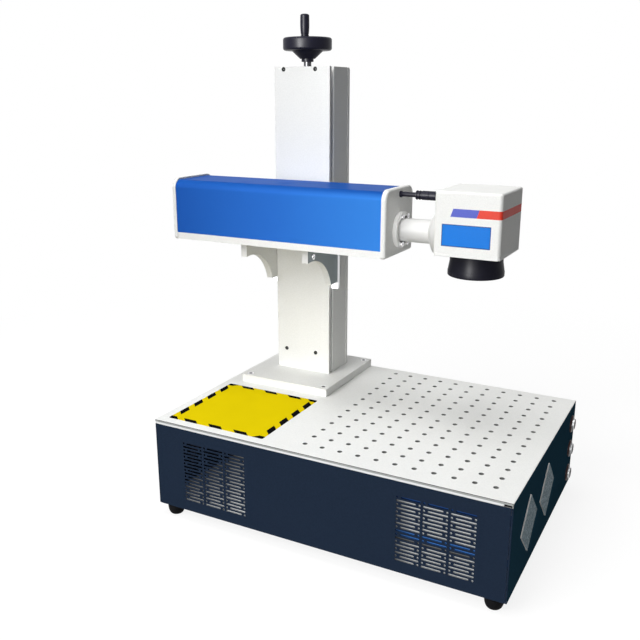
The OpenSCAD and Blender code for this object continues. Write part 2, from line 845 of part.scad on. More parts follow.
// End block of the column between its profiles, with the seats of rods and bearing
module end_block(low_z, high_z, bearing_z) difference() {
    wide = column_w / 2 - profile_wall;
    through = high_z - low_z + 2 * over;
    union() {
        block([column_x - block_half_w, slit_y, low_z], [column_x + block_half_w, profile_back_y, high_z]);
        block([column_x - wide, profile_y + profile_wall, low_z],
              [column_x + wide, profile_back_y - profile_wall, high_z]);
    }
    translate([drive_x, drive_y, low_z - over]) post(journal_d + 4 * slide_gap, through);
    translate([drive_x, drive_y, bearing_z]) post(bearing_d + 2 * run_gap, bearing_t + over);
    for (p = rod_places()) translate([p[0], p[1], low_z - over]) post(rod_d + 2 * run_gap, through);
    for (p = cover_screw_places()) translate([p[0], slit_y - over, p[1]])
        rod_back(screw_m3 + 2 * screw_gap, slit + 2 * over);
}

bottom_bearing_z = foot_plate_z + bottom_block_h - bearing_t;
top_bearing_z = column_top_z - bearing_t;

module column_end_blocks() color("silver") on_frame() {
    end_block(column_top_z - top_block_h, column_top_z, top_bearing_z);
    end_block(foot_plate_z, foot_plate_z + bottom_block_h, bottom_bearing_z);
}

module guide_rods() color("silver") on_frame()
for (p = rod_places()) translate([p[0], p[1], foot_plate_z]) post(rod_d, column_h);

module screw_bearings() color("darkgray") on_frame()
for (z = [bottom_bearing_z, top_bearing_z]) translate([drive_x, drive_y, z]) difference() {
    post(bearing_d, bearing_t);
    translate([0, 0, -over]) post(journal_d + 2 * run_gap, bearing_t + 2 * over);
}

module lead_screw() color("silver") on_frame()
translate([drive_x, drive_y, 0]) {
    low = foot_plate_z + bottom_block_h + slide_gap;
    high = column_top_z - top_block_h - slide_gap;
    translate([0, 0, bottom_bearing_z]) post(journal_d, column_top_z + neck_h + cone_h - bottom_bearing_z);
    translate([0, 0, low]) post(screw_d, high - low);
}

// Handwheel on the neck of the screw: cone and rim, and the pin that carries the grip
module handwheel() color([0.07, 0.07, 0.09]) on_frame()
translate([drive_x, drive_y, column_top_z]) {
    rim_r = wheel_d / 2 - wheel_edge_r;
    rim_z = neck_h + cone_h;
    difference() {
        rotate_extrude() polygon(concat(
            [[0, neck_h], [cone_low_d / 2, neck_h], [cone_high_d / 2, rim_z]],
            arc([rim_r, rim_z + wheel_edge_r], wheel_edge_r, -90, 0),
            arc([rim_r, wheel_face - wheel_edge_r], wheel_edge_r, 0, 90),
            [[wheel_dish_d / 2, wheel_face], [wheel_dish_d / 2 - wheel_dish, wheel_face - wheel_dish],
             [0, wheel_face - wheel_dish]]));
        post(journal_d, rim_z);
    }
    at_grip() {
        translate([0, 0, -wheel_dish]) post(grip_pin_d, wheel_dish + grip_h + grip_gap);
        translate([0, 0, grip_h + grip_gap]) post(grip_pin_cap_d, grip_pin_cap_h);
    }
}

module at_grip() rotate([0, 0, grip_turn]) translate([grip_circle_r, 0, wheel_face]) children();

// Grip: a slim barrel that turns on its pin, recessed around the pin's cap
module wheel_grip() color([0.05, 0.05, 0.07]) on_frame()
translate([drive_x, drive_y, column_top_z]) at_grip() rotate_extrude() {
    top = grip_h + grip_gap + grip_pin_cap_h;
    bore = grip_pin_d / 2 + run_gap;
    cap_room = grip_pin_cap_d / 2 + grip_cap_room;
    polygon(concat(
        [[bore, grip_gap], [grip_root_d / 2, grip_gap], [grip_d / 2, grip_root_h]],
        arc([grip_d / 2 - grip_edge_r, top - grip_edge_r], grip_edge_r, 0, 60),
        [[cap_room, top - slide_gap], [cap_room, grip_h], [bore, grip_h]]));
}

// Carriage: everything that rides up and down

module carriage_plate() color("silver") on_frame()
difference() {
    block([column_x - carriage_w / 2, carriage_front_y, carriage_z],
          [column_x + carriage_w / 2, carriage_back_y, carriage_z + carriage_h]);
    for (p = bracket_screw_places()) translate([p[0], carriage_front_y - over, p[1]])
        rod_back(screw_m4 + 2 * screw_gap, carriage_t + 2 * over);
}

module carriage_block() color("silver") on_frame()
difference() {
    block([column_x - block_half_w, carriage_back_y, block_z],
          [column_x + block_half_w, profile_back_y - block_back_gap, block_z + block_h]);
    for (p = rod_places()) translate([p[0], p[1], block_z - over])
        post(rod_d + 2 * run_gap, block_h + 2 * over);
    translate([drive_x, drive_y, block_z - over]) {
        post(screw_d + 2 * slide_gap, block_h + 2 * over);
        post(nut_d + 2 * run_gap, nut_l + over);
    }
}

module lead_nut() color("darkgoldenrod") on_frame()
translate([drive_x, drive_y, block_z]) difference() {
    post(nut_d, nut_l);
    translate([0, 0, -over]) post(screw_d + 2 * run_gap, nut_l + 2 * over);
}

// Bracket seen from the side: a nose under the arm, a hollow underside and a rib
// that runs up behind the arm; the first axis runs forwards from the carriage
module bracket_outline() {
    difference() {
        translate([0, -bracket_drop]) square([bracket_reach, bracket_drop]);
        translate([bracket_arc_out, -bracket_arc_down]) circle(r = bracket_arc_r, $fn = 180);
    }
    translate([0, -bracket_rib]) square([bracket_rib, bracket_rib + carriage_h - carriage_drop]);
}

// Bracket to the right of the column, from its inner face
module bracket() difference() {
    translate([0, carriage_front_y, arm_z]) rotate([90, 0, -90]) mirror([0, 0, 1])
        linear_extrude(bracket_t) bracket_outline();
    for (z = bracket_screw_levels()) translate([bracket_t / 2, carriage_front_y + over, carriage_z + z])
        rotate([90, 0, 0]) cylinder(d = screw_m4 + 2 * screw_gap, h = bracket_screw_l);
    for (p = arm_bolt_places()) translate([bracket_t / 2, p[1], arm_z - arm_bolt_l])
        post(screw_m5 + 2 * screw_gap, arm_bolt_l + over);
    at_nose_screw() translate([-nose_screw_l, 0, 0]) rod_right(screw_m3 + 2 * screw_gap, nose_screw_l + over);
}

module at_nose_screw()
translate([bracket_t, carriage_front_y - bracket_reach + nose_screw_back, arm_z - nose_screw_down])
children();

module at_right_bracket() translate([column_x + bracket_x, 0, 0]) children();

module at_left_bracket()
translate([column_x, 0, 0]) mirror([1, 0, 0]) translate([bracket_x, 0, 0]) children();

module right_bracket() color("whitesmoke") on_frame() at_right_bracket() bracket();
module left_bracket() color("whitesmoke") on_frame() at_left_bracket() bracket();

module nose_screw() at_nose_screw() rotate([0, 90, 0])
    cap_screw(screw_m3, nose_screw_l - slide_gap, nose_screw_head_d, nose_screw_head_h);

module bracket_screws() color("silver") on_frame() {
    for (p = bracket_screw_places()) translate([p[0], carriage_back_y, p[1]]) rotate([-90, 0, 0])
        cap_screw(screw_m4, bracket_screw_l, bracket_screw_head_d, bracket_screw_head_h);
    for (p = arm_bolt_places()) translate([p[0], p[1], arm_z + rail_floor_t])
        cap_screw(screw_m5, arm_bolt_l, arm_bolt_head_d, arm_bolt_head_h);
    at_right_bracket() nose_screw();
    at_left_bracket() nose_screw();
}

// Arm: floor tray, folded cover, end caps

module arm_floor() color("white") on_frame()
difference() {
    block([arm_left_x + cap_t, arm_front_y, arm_z], [arm_right_x - cap_t, arm_back_y, arm_z + rail_h]);
    block([arm_left_x + cap_t + rail_lip, arm_front_y + rail_lip, arm_z + rail_floor_t],
          [arm_right_x - cap_t - rail_lip, arm_back_y - rail_lip, arm_z + rail_h + over]);
    for (p = arm_bolt_places()) translate([p[0], p[1], arm_z - over])
        post(screw_m5 + 2 * screw_gap, rail_floor_t + 2 * over);
}

// Section through the arm's cover at an inset from its outside, depth to the right
module cover_section(inset) {
    w = arm_d - 2 * inset;
    h = arm_h - rail_h - inset;
    r = arm_corner_r - inset;
    square([w, h - r]);
    translate([r, 0]) square([w - 2 * r, h]);
    for (x = [r, w - r]) translate([x, h - r]) circle(r = r);
}

module arm_cover() color("royalblue") on_frame()
translate([arm_left_x + cap_t, arm_front_y, arm_z + rail_h]) rotate([90, 0, 90])
linear_extrude(arm_l - 2 * cap_t) difference() {
    cover_section(0);
    translate([arm_sheet, 0]) cover_section(arm_sheet);
    translate([arm_sheet, -over]) square([arm_d - 2 * arm_sheet, 2 * over]);
}

// End cap: it stands a little proud of the arm all round
module cap_outline() {
    w = arm_d + 2 * cap_proud;
    h = arm_h + cap_proud + cap_top_proud;
    r = cap_corner_r;
    s = cap_bottom_r;
    translate([-cap_proud, -cap_proud]) {
        translate([s, 0]) square([w - 2 * s, h - r]);
        translate([0, s]) square([w, h - r - s]);
        translate([r, 0]) square([w - 2 * r, h]);
        for (x = [r, w - r]) translate([x, h - r]) circle(r = r);
        for (x = [s, w - s]) translate([x, s]) circle(r = s);
    }
}

module cap_blank(x)
translate([x, arm_front_y, arm_z]) rotate([90, 0, 90]) linear_extrude(cap_t) cap_outline();

module arm_left_cap() color("white") on_frame() cap_blank(arm_left_x);

module arm_right_cap() color("white") on_frame()
difference() {
    cap_blank(arm_right_x - cap_t);
    translate([arm_right_x - cap_t - over, tube_y, tube_z]) {
        rod_right(tube_bore_d, cap_t + 2 * over);
        for (p = flange_places()) translate([0, p[0], p[1]])
            rod_right(screw_m4 + 2 * screw_gap, cap_t + 2 * over);
    }
    translate([arm_right_x - cap_t - over, cable_y, cable_z])
        rod_right(cable_d + 2 * screw_gap, cap_t + 2 * over);
}

module flange_screws() color("gainsboro") on_frame()
for (p = flange_places()) translate([arm_right_x + tube_flange_t, tube_y + p[0], tube_z + p[1]])
    rotate([0, 90, 0]) cap_screw(screw_m4, flange_screw_l, flange_screw_head_d, flange_screw_head_h);

// Beam tube with its flange on the arm and its collar on the head
module beam_tube() color("white") on_frame()
translate([arm_right_x, tube_y, tube_z]) difference() {
    union() {
        rod_right(tube_flange_d, tube_flange_t);
        rod_right(tube_d, tube_flange_t + tube_l + collar_cone_l);
        translate([tube_flange_t + tube_l, 0, 0]) rotate([0, 90, 0])
            cylinder(d1 = tube_d, d2 = collar_d, h = collar_cone_l);
        translate([tube_flange_t + tube_l + collar_cone_l, 0, 0]) rod_right(collar_d, collar_l);
    }
    translate([-over, 0, 0]) rod_right(tube_bore_d, head_x - arm_right_x + 2 * over);
    for (p = flange_places()) translate([-over, p[0], p[1]])
        rod_right(screw_m4 + 2 * screw_gap, tube_flange_t + 2 * over);
}

module laser_source() color("lightgray") on_frame() {
    left_x = arm_left_x + cap_t + source_left_gap;
    mid_y = (arm_front_y + arm_back_y) / 2;
    low_z = arm_z + rail_floor_t;
    difference() {
        block([left_x, mid_y - source_d / 2, low_z],
              [left_x + source_l, mid_y + source_d / 2, low_z + source_h]);
        for (p = arm_bolt_places()) translate([p[0], p[1], low_z - over])
            post(arm_bolt_head_d + 2 * slide_gap, arm_bolt_head_h + slide_gap + over);
    }
}

module beam_expander() color("dimgray") on_frame() {
    left_x = arm_left_x + cap_t + source_left_gap + source_l;
    translate([left_x, beam_y, tube_z]) difference() {
        rod_right(expander_d, arm_right_x - cap_t - left_x);
        translate([-over, 0, 0]) rod_right(expander_bore_d, arm_l);
    }
}

module cable_gland() color([0.1, 0.1, 0.1]) on_frame()
translate([arm_right_x, cable_y, cable_z]) difference() {
    rotate([0, 90, 0]) cylinder(d1 = gland_d, d2 = gland_nose_d, h = gland_l);
    translate([-over, 0, 0]) rod_right(cable_d + 2 * screw_gap, gland_l + 2 * over);
}

module scanner_cable() color([0.08, 0.08, 0.08]) on_frame()
translate([arm_right_x - cap_t, cable_y, cable_z])
    rod_right(cable_d, head_x - connector_l - arm_right_x + cap_t);

module cable_connector() color([0.12, 0.12, 0.12]) on_frame()
translate([head_x - connector_l, cable_y, cable_z]) {
    rod_right(connector_neck_d, connector_l);
    for (i = [0, 1]) translate([i * connector_ring_pitch, 0, 0]) rod_right(connector_d, connector_ring_l);
    translate([2 * connector_ring_pitch, 0, 0])
        rod_right(connector_d, connector_l - 2 * connector_ring_pitch);
}

// Scanning head: base plate, cover, two motors with their mirrors, lens

module head_block(inset, low_z, high_z)
translate([head_x + head_w / 2, head_front_y + head_d / 2, low_z]) linear_extrude(high_z - low_z)
    round_rect(head_w - 2 * inset, head_d - 2 * inset, max(head_r - inset, slide_gap));

module head_base() color("white") on_frame()
difference() {
    head_block(0, head_z, head_z + head_base_t);
    translate([lens_x, lens_y, head_z - over]) post(lens_thread_d + 2 * screw_gap, head_base_t + 2 * over);
}

module head_cover() color("white") on_frame()
difference() {
    head_block(0, head_z + head_base_t, head_z + head_h);
    head_block(head_wall, head_z + head_base_t - over, head_z + head_h - head_wall);
    translate([head_x - over, tube_y, tube_z]) rod_right(tube_bore_d, head_wall + 2 * over);
}

// Motors: one hangs from the roof over the front mirror, one lies on the right
module galvo_motors() color("dimgray") on_frame() {
    side_x = lens_x + rear_mirror_w / 2 + slide_gap;
    hang_z = tube_z + galvo_gap;
    translate([lens_x, beam_y, hang_z]) difference() {
        post(galvo_d, head_z + head_h - head_wall - hang_z);
        translate([0, 0, -over]) post(mirror_shaft_d + 2 * run_gap, galvo_hole_l + over);
    }
    translate([side_x, lens_y, tube_z]) difference() {
        rod_right(galvo_d, head_x + head_w - head_wall - side_x);
        translate([-over, 0, 0]) rod_right(mirror_shaft_d + 2 * run_gap, galvo_hole_l + over);
    }
}

module mirror_glass(w) block([-w / 2, -mirror_t / 2, -mirror_h / 2], [w / 2, mirror_t / 2, mirror_h / 2]);

module front_mirror() color("gold") on_frame()
translate([lens_x, beam_y, tube_z]) {
    translate([0, 0, mirror_h / 2 - over]) post(mirror_shaft_d, galvo_gap + galvo_hole_l - mirror_h / 2);
    rotate([0, 0, 45]) mirror_glass(front_mirror_w);
}

module rear_mirror() color("gold") on_frame()
translate([lens_x, lens_y, tube_z]) {
    translate([rear_mirror_w / 2 - over, 0, 0]) rod_right(mirror_shaft_d, galvo_hole_l);
    rotate([45, 0, 0]) mirror_glass(rear_mirror_w);
}

// Barrel in section: a neck under the head, a flare, a straight band
module lens_barrel() color([0.06, 0.06, 0.08]) on_frame()
translate([lens_x, lens_y, head_z]) mirror([0, 0, 1]) rotate_extrude() polygon([
    [lens_inner_d / 2, -head_base_t], [lens_thread_d / 2, -head_base_t], [lens_thread_d / 2, 0],
    [lens_neck_d / 2, 0], [lens_neck_d / 2, lens_neck_h], [lens_d / 2, lens_neck_h + lens_flare_h],
    [lens_d / 2, lens_h - lens_edge], [lens_d / 2 - lens_edge, lens_h], [lens_mouth_d / 2, lens_h],
    [lens_bore_d / 2, lens_h - lens_mouth_h], [lens_bore_d / 2, lens_h - lens_mouth_h - lens_disc_t],
    [lens_inner_d / 2, lens_h - lens_mouth_h - lens_disc_t]
]);

// Flat above, domed below
module lens_glass() color("lightblue") on_frame()
translate([lens_x, lens_y, head_z - lens_h + lens_mouth_h + lens_disc_t]) mirror([0, 0, 1])
    rotate_extrude() polygon(concat([[0, 0], [lens_bore_d / 2, 0]],
        [for (q = arc([0, 0], 1, 0, 90)) [lens_bore_d / 2 * q[0], lens_disc_t + lens_dome * q[1]]]));

table_plate();
edge_strip();
front_panel();
left_side_panel();
right_side_panel();
rear_panel();
floor_pan();
corner_posts();
rubber_feet();
housing_screws();
table_label();
diamond_plates();
button_rings();
vent_linings();
power_inlet();
power_supply();
control_board();
fan_frames();
column_foot_plate();
column_cover();
column_left_profile();
column_right_profile();
column_back_plate();
column_end_blocks();
column_screws();
guide_rods();
screw_bearings();
lead_screw();
handwheel();
wheel_grip();
top_button();
middle_button();
bottom_button();
front_fan_rotor();
rear_fan_rotor();
switch_rocker();
carriage_plate();
carriage_block();
lead_nut();
left_bracket();
right_bracket();
bracket_screws();
arm_floor();
arm_cover();
arm_left_cap();
arm_right_cap();
flange_screws();
beam_tube();
laser_source();
beam_expander();
cable_gland();
scanner_cable();
cable_connector();
head_cover();
head_base();
galvo_motors();
front_mirror();
rear_mirror();
lens_barrel();
lens_glass();
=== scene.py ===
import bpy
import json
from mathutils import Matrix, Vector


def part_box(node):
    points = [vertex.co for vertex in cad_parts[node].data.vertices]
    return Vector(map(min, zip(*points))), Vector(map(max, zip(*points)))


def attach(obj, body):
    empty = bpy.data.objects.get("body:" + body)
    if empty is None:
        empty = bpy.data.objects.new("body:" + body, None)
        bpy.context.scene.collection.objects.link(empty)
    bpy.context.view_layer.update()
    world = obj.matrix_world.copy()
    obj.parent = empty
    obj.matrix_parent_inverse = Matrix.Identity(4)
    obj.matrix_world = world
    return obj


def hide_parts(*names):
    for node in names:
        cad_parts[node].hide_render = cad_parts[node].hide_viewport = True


bl_info = {
    "name": "Laser marking machine",
    "version": (1, 0, 0),
    "blender": (4, 5, 0),
    "location": "3D View > Sidebar > Marker",
    "description": "Finished pieces, materials and studio for a bench laser marking machine",
    "category": "Object",
}

import json
import math

import bpy
from bpy.props import FloatProperty, FloatVectorProperty, IntProperty, PointerProperty
from bpy.types import Operator, Panel, PropertyGroup
from mathutils import Vector

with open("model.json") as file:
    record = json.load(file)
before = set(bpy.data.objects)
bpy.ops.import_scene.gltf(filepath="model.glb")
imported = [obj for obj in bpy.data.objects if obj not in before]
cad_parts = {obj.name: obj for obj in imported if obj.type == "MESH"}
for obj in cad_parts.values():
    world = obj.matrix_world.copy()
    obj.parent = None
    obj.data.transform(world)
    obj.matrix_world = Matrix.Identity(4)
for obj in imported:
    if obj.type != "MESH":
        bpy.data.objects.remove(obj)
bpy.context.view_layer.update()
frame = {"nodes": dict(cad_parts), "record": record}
MILLIMETRE = 0.001
# Two places nearer than this count as one
NEAR = 1e-6
# Radius of the small flat where a turned piece closes on its axis
POLE = 0.3 * MILLIMETRE
# Height of a turned groove's slanted walls
GROOVE_SLOPE = 0.4 * MILLIMETRE


def mm(*values):
    """Lengths in millimetres as lengths in metres."""
    return [value * MILLIMETRE for value in values]


def length(name, description, millimetres):
    """A size that a user can change, in metres, given in millimetres."""
    return FloatProperty(
        name=name,
        description=description,
        default=millimetres * MILLIMETRE,
        min=0,
        unit="LENGTH",
        precision=5,
    )


def colour(name, description, red, green, blue):
    """A colour that a user can change."""
    return FloatVectorProperty(
        name=name,
        description=description,
        default=(red, green, blue),
        min=0,
        max=1,
        subtype="COLOR",
        size=3,
    )


class MarkerSizes(PropertyGroup):
    """Sizes of the finish that the frame doesn't hold."""

    sheet_edge: length("Sheet edge", "Rounding of the edges of panels and plates", 0.5)
    cast_edge: length("Bracket edge", "Rounding of the brackets' edges", 1.0)
    column_corner: length("Column corner", "Radius of the column cover's two top corners", 3)
    cover_corner: length("Cover corner", "Radius of the arm cover's two long top corners", 12)
    cover_sheet: length("Cover sheet", "Thickness of the arm cover", 2)
    cap_corner: length("Cap corner", "Radius of an end cap's top corners", 14)
    cap_foot_corner: length("Cap foot corner", "Radius of an end cap's bottom corners", 4)
    cap_edge: length("Cap edge", "Rounding of an end cap's outer edge", 3.2)
    head_corner: length("Head corner", "Radius of the head's upright corners", 4.5)
    head_edge: length("Head edge", "Rounding of the head's top edge", 3.2)
    head_wall: length("Head wall", "Wall of the head's cover", 2.8)
    grid_pitch: length("Grid pitch", "Pitch of the table's holes", 25)
    # Painted shade: a grey ring round each hole stands in for the shade of a countersink.
    hole_shade_ring: length("Hole shade ring", "Outer radius of the painted shade ring round a hole", 3.4)
    label_corner: length("Label rounding", "Radius of the label's corners", 2)
    label_band: length("Label band", "Width of the dashes along the label's sides", 9)
    label_end_band: length("Label end band", "Width of the dashes along the label's front and back", 7.5)
    label_corner_dash: length("Label corner", "Length of the dashes in the label's corners", 16)
    dash_down: length("Dash pitch down", "Pitch of the dashes along the label's sides", 32.5)
    dash_across: length("Dash pitch across", "Pitch of the dashes along the label's front and back", 41)
    round_sides: IntProperty(
        name="Round sides",
        description="Sides of a turned piece",
        default=96,
        min=24,
        max=256,
    )


class MarkerColours(PropertyGroup):
    """Colours of the machine's finishes."""

    white: colour("White coat", "Powder coat of the table, column and head", 0.83, 0.835, 0.815)
    # Painted shade: the white coat darkens towards the arm's left end, where less light falls.
    white_painted_shade_left: colour("White coat, painted shade left", "White coat darkened towards the arm's left end as painted shade", 0.71, 0.71, 0.69)
    navy: colour("Navy coat", "Powder coat of the housing", 0.0145, 0.0245, 0.0455)
    # Painted reflection: the right side's navy is lighter and tealer than the front's.
    navy_painted_reflection_side: colour("Navy coat, painted reflection side", "Navy of the housing's right side, lighter and tealer as a painted reflection", 0.029, 0.090, 0.142)
    blue: colour("Blue coat", "Coat of the arm's cover, at its middle", 0.025, 0.147, 0.570)
    # Painted light and shade on the arm cover: its blue darkens towards the left end and on top, and
    # lightens towards the head.
    blue_painted_shade_left: colour("Blue coat, painted shade left", "Arm cover's blue at its left end, darkened as painted shade", 0.014, 0.088, 0.390)
    blue_painted_light_right: colour("Blue coat, painted light right", "Arm cover's blue at the head, lightened as painted light", 0.040, 0.232, 0.740)
    blue_painted_shade_top: colour("Blue coat, painted shade top", "Arm cover's blue on its top, darkened as painted shade", 0.012, 0.085, 0.370)
    trim: colour("Trim", "Edge strip and vent linings", 0.68, 0.69, 0.69)
    lining_blue: colour("Lining, blue", "Blue bar behind the right vent", 0.035, 0.125, 0.36)
    lining_top: colour("Lining, top", "Dark blue sheet behind the right vent's top row", 0.008, 0.035, 0.13)
    yellow: colour("Label yellow", "Ground of the label", 0.72, 0.56, 0.003)
    ink: colour("Label black", "Dashes of the label's border", 0.006, 0.006, 0.006)
    slate: colour("Speckled plate", "Ground of the two plates on the side", 0.21, 0.29, 0.335)
    # Painted shade: the right bracket's right side is darkened as the arm shades it.
    bracket_painted_shade: colour("Bracket side, painted shade", "Right side of the right bracket, darkened as painted shade", 0.36, 0.41, 0.43)
    tube: colour("Beam tube", "Satin metal of the beam tube", 0.70, 0.70, 0.69)
    # Painted highlight: the flange is lighter than the tube, so that it reads lit although the arm shades
    # it.
    flange: colour("Flange", "Satin metal of the beam tube's flange, lightened as a painted highlight", 0.90, 0.90, 0.88)
    collar: colour("Collar", "Satin metal of the beam tube's collar", 0.56, 0.56, 0.55)
    cut_edge_and_hole_shade: colour("Cut edge", "Bare edge of the table plate, and the painted shade ring round each hole", 0.33, 0.34, 0.33)
    # The holes' walls are the bare thread, darkened further as painted shade inside the holes.
    thread: colour("Thread, painted shade", "Walls of the table's holes, partly darkened as painted shade", 0.19, 0.195, 0.185)
    steel: colour("Steel", "Screws, rods and bearings", 0.60, 0.60, 0.61)
    # Real dark steel on the column screws; painted shade on the button faces and in the tube groove.
    dark_steel_and_painted_shade: colour("Dark steel and painted shade", "Column screws, and painted shade on the button faces and in the tube groove", 0.035, 0.035, 0.036)
    black_steel: colour("Black steel", "Blackened lift screw", 0.035, 0.035, 0.042)
    aluminium: colour("Aluminium", "Machined inner pieces", 0.66, 0.67, 0.68)
    bronze: colour("Bronze", "Lift nut", 0.55, 0.36, 0.13)
    gold: colour("Gold", "Scanner mirrors", 0.82, 0.68, 0.36)
    black: colour("Black plastic", "Wheel, grip, connector and fans", 0.009, 0.009, 0.020)
    anodised: colour("Black metal", "Lens barrel and scanner motors", 0.011, 0.011, 0.018)
    # Also painted shade: the plate's groove for the edge strip wears this black.
    rubber: colour("Rubber", "Feet, and painted shade in the groove of the edge strip", 0.005, 0.005, 0.006)
    button_ring: colour("Button ring", "Blackened ring with a reddish sheen", 0.038, 0.016, 0.015)
    red_ring: colour("Button light", "Ring round a button's cap, unlit", 0.014, 0.006, 0.006)
    rocker: colour("Rocker", "Rocker of the mains switch", 0.42, 0.012, 0.010)
    board: colour("Board", "Control board", 0.010, 0.11, 0.045)
    stripe_red: colour("Red stripe", "Stripe round the head", 0.76, 0.060, 0.035)
    stripe_blue: colour("Blue stripe", "Slanted start of the head's stripe", 0.10, 0.13, 0.56)
    panel_blue: colour("Blue field", "Field on the head's front", 0.0, 0.182, 0.70)


def chosen():
    """The sizes and the colours that the user has set."""
    return bpy.context.scene.marker_sizes, bpy.context.scene.marker_colours


# Materials


class Field:
    """A value that varies over a surface. Sums and comparisons of fields become nodes."""

    def __init__(self, socket):
        self.socket, self.tree = socket, socket.id_data

    def apply(self, operation, *others, turned_round=False):
        node = self.tree.nodes.new("ShaderNodeMath")
        node.operation = operation
        values = (*others, self) if turned_round else (self, *others)
        for value, entry in zip(values, node.inputs):
            feed(value, entry)
        return Field(node.outputs[0])

    def __add__(self, other):
        return self.apply("ADD", other)

    def __sub__(self, other):
        return self.apply("SUBTRACT", other)

    def __rsub__(self, other):
        return self.apply("SUBTRACT", other, turned_round=True)

    def __mul__(self, other):
        return self.apply("MULTIPLY", other)

    def __truediv__(self, other):
        return self.apply("DIVIDE", other)

    def __pow__(self, other):
        return self.apply("POWER", other)

    def __abs__(self):
        return self.apply("ABSOLUTE")

    def __gt__(self, other):
        return self.apply("GREATER_THAN", other)

    def __lt__(self, other):
        return self.apply("LESS_THAN", other)

    def least(self, other):
        return self.apply("MINIMUM", other)

    def most(self, other):
        return self.apply("MAXIMUM", other)

    def between(self, low, high):
        return (self > low) * (self < high)

    def ramp(self, low, high, result_low=0.0, result_high=1.0):
        node = self.tree.nodes.new("ShaderNodeMapRange")
        names = ("Value", "From Min", "From Max", "To Min", "To Max")
        for name, value in zip(names, (self, low, high, result_low, result_high)):
            feed(value, node.inputs[name])
        return Field(node.outputs[0])


def feed(value, entry):
    """Links a field to a node's entry, or sets the entry to a plain value."""
    if isinstance(value, Field):
        value.tree.links.new(value.socket, entry)
    else:
        entry.default_value = value


def fill(entries, values):
    """Feeds several entries of a node, by their names or numbers."""
    for name, value in values.items():
        feed(value, entries[name])


def opaque(rgb):
    """A colour with the alpha that a colour socket wants. A field stays as it is."""
    return rgb if isinstance(rgb, Field) else (*rgb[:3], 1.0)


def tinted(rgb, factor):
    """A colour made lighter or darker."""
    return tuple(min(1.0, part * factor) for part in rgb)


class Wiring:
    """Adds nodes to the tree of a material, a group or the world."""

    def __init__(self, tree):
        self.tree = tree

    def node(self, kind, values=None, **settings):
        made = self.tree.nodes.new(kind)
        for name, value in settings.items():
            setattr(made, name, value)
        fill(made.inputs, values or {})
        return made

    def noise(self, place, scale, detail=2.0, roughness=0.5):
        values = {"Vector": place, "Scale": scale, "Detail": detail, "Roughness": roughness}
        return Field(self.node("ShaderNodeTexNoise", values).outputs["Fac"])

    def blend(self, share, first, second):
        values = {"Factor": share, 6: opaque(first), 7: opaque(second)}
        return Field(self.node("ShaderNodeMix", values, data_type="RGBA").outputs[2])

    def place(self):
        return Field(self.node("ShaderNodeTexCoord").outputs["Object"])

    def axes(self):
        split = self.node("ShaderNodeSeparateXYZ", {0: self.place()})
        return [Field(socket) for socket in split.outputs]


def surface_group():
    """The unevenness that every finish shares: fine grain, slow mottling, and smudges from hands."""
    name = "Marker surface"
    if name in bpy.data.node_groups:
        return bpy.data.node_groups[name]
    group = bpy.data.node_groups.new(name, "ShaderNodeTree")
    sockets = group.interface.new_socket
    for label, default in (("Grain scale", 900.0), ("Mottle scale", 9.0), ("Smudge scale", 22.0)):
        sockets(name=label, in_out="INPUT", socket_type="NodeSocketFloat").default_value = default
    for label in ("Grain", "Mottle", "Smudge"):
        sockets(name=label, in_out="OUTPUT", socket_type="NodeSocketFloat")
    wiring = Wiring(group)
    scales = [Field(socket) for socket in wiring.node("NodeGroupInput").outputs[:3]]
    place = wiring.place()
    grain = wiring.noise(place, scales[0], detail=3.0, roughness=0.55)
    mottle = wiring.noise(place, scales[1], detail=4.0, roughness=0.6)
    smudge = wiring.noise(place, scales[2], detail=5.0, roughness=0.65).ramp(low=0.52, high=0.72)
    wiring.node("NodeGroupOutput", {"Grain": grain, "Mottle": mottle, "Smudge": smudge})
    return group


def new_material(name):
    """A new material, the wiring of its tree, and the entries of its shader."""
    material = bpy.data.materials.new(name)
    material.use_nodes = True
    return material, Wiring(material.node_tree), material.node_tree.nodes["Principled BSDF"].inputs


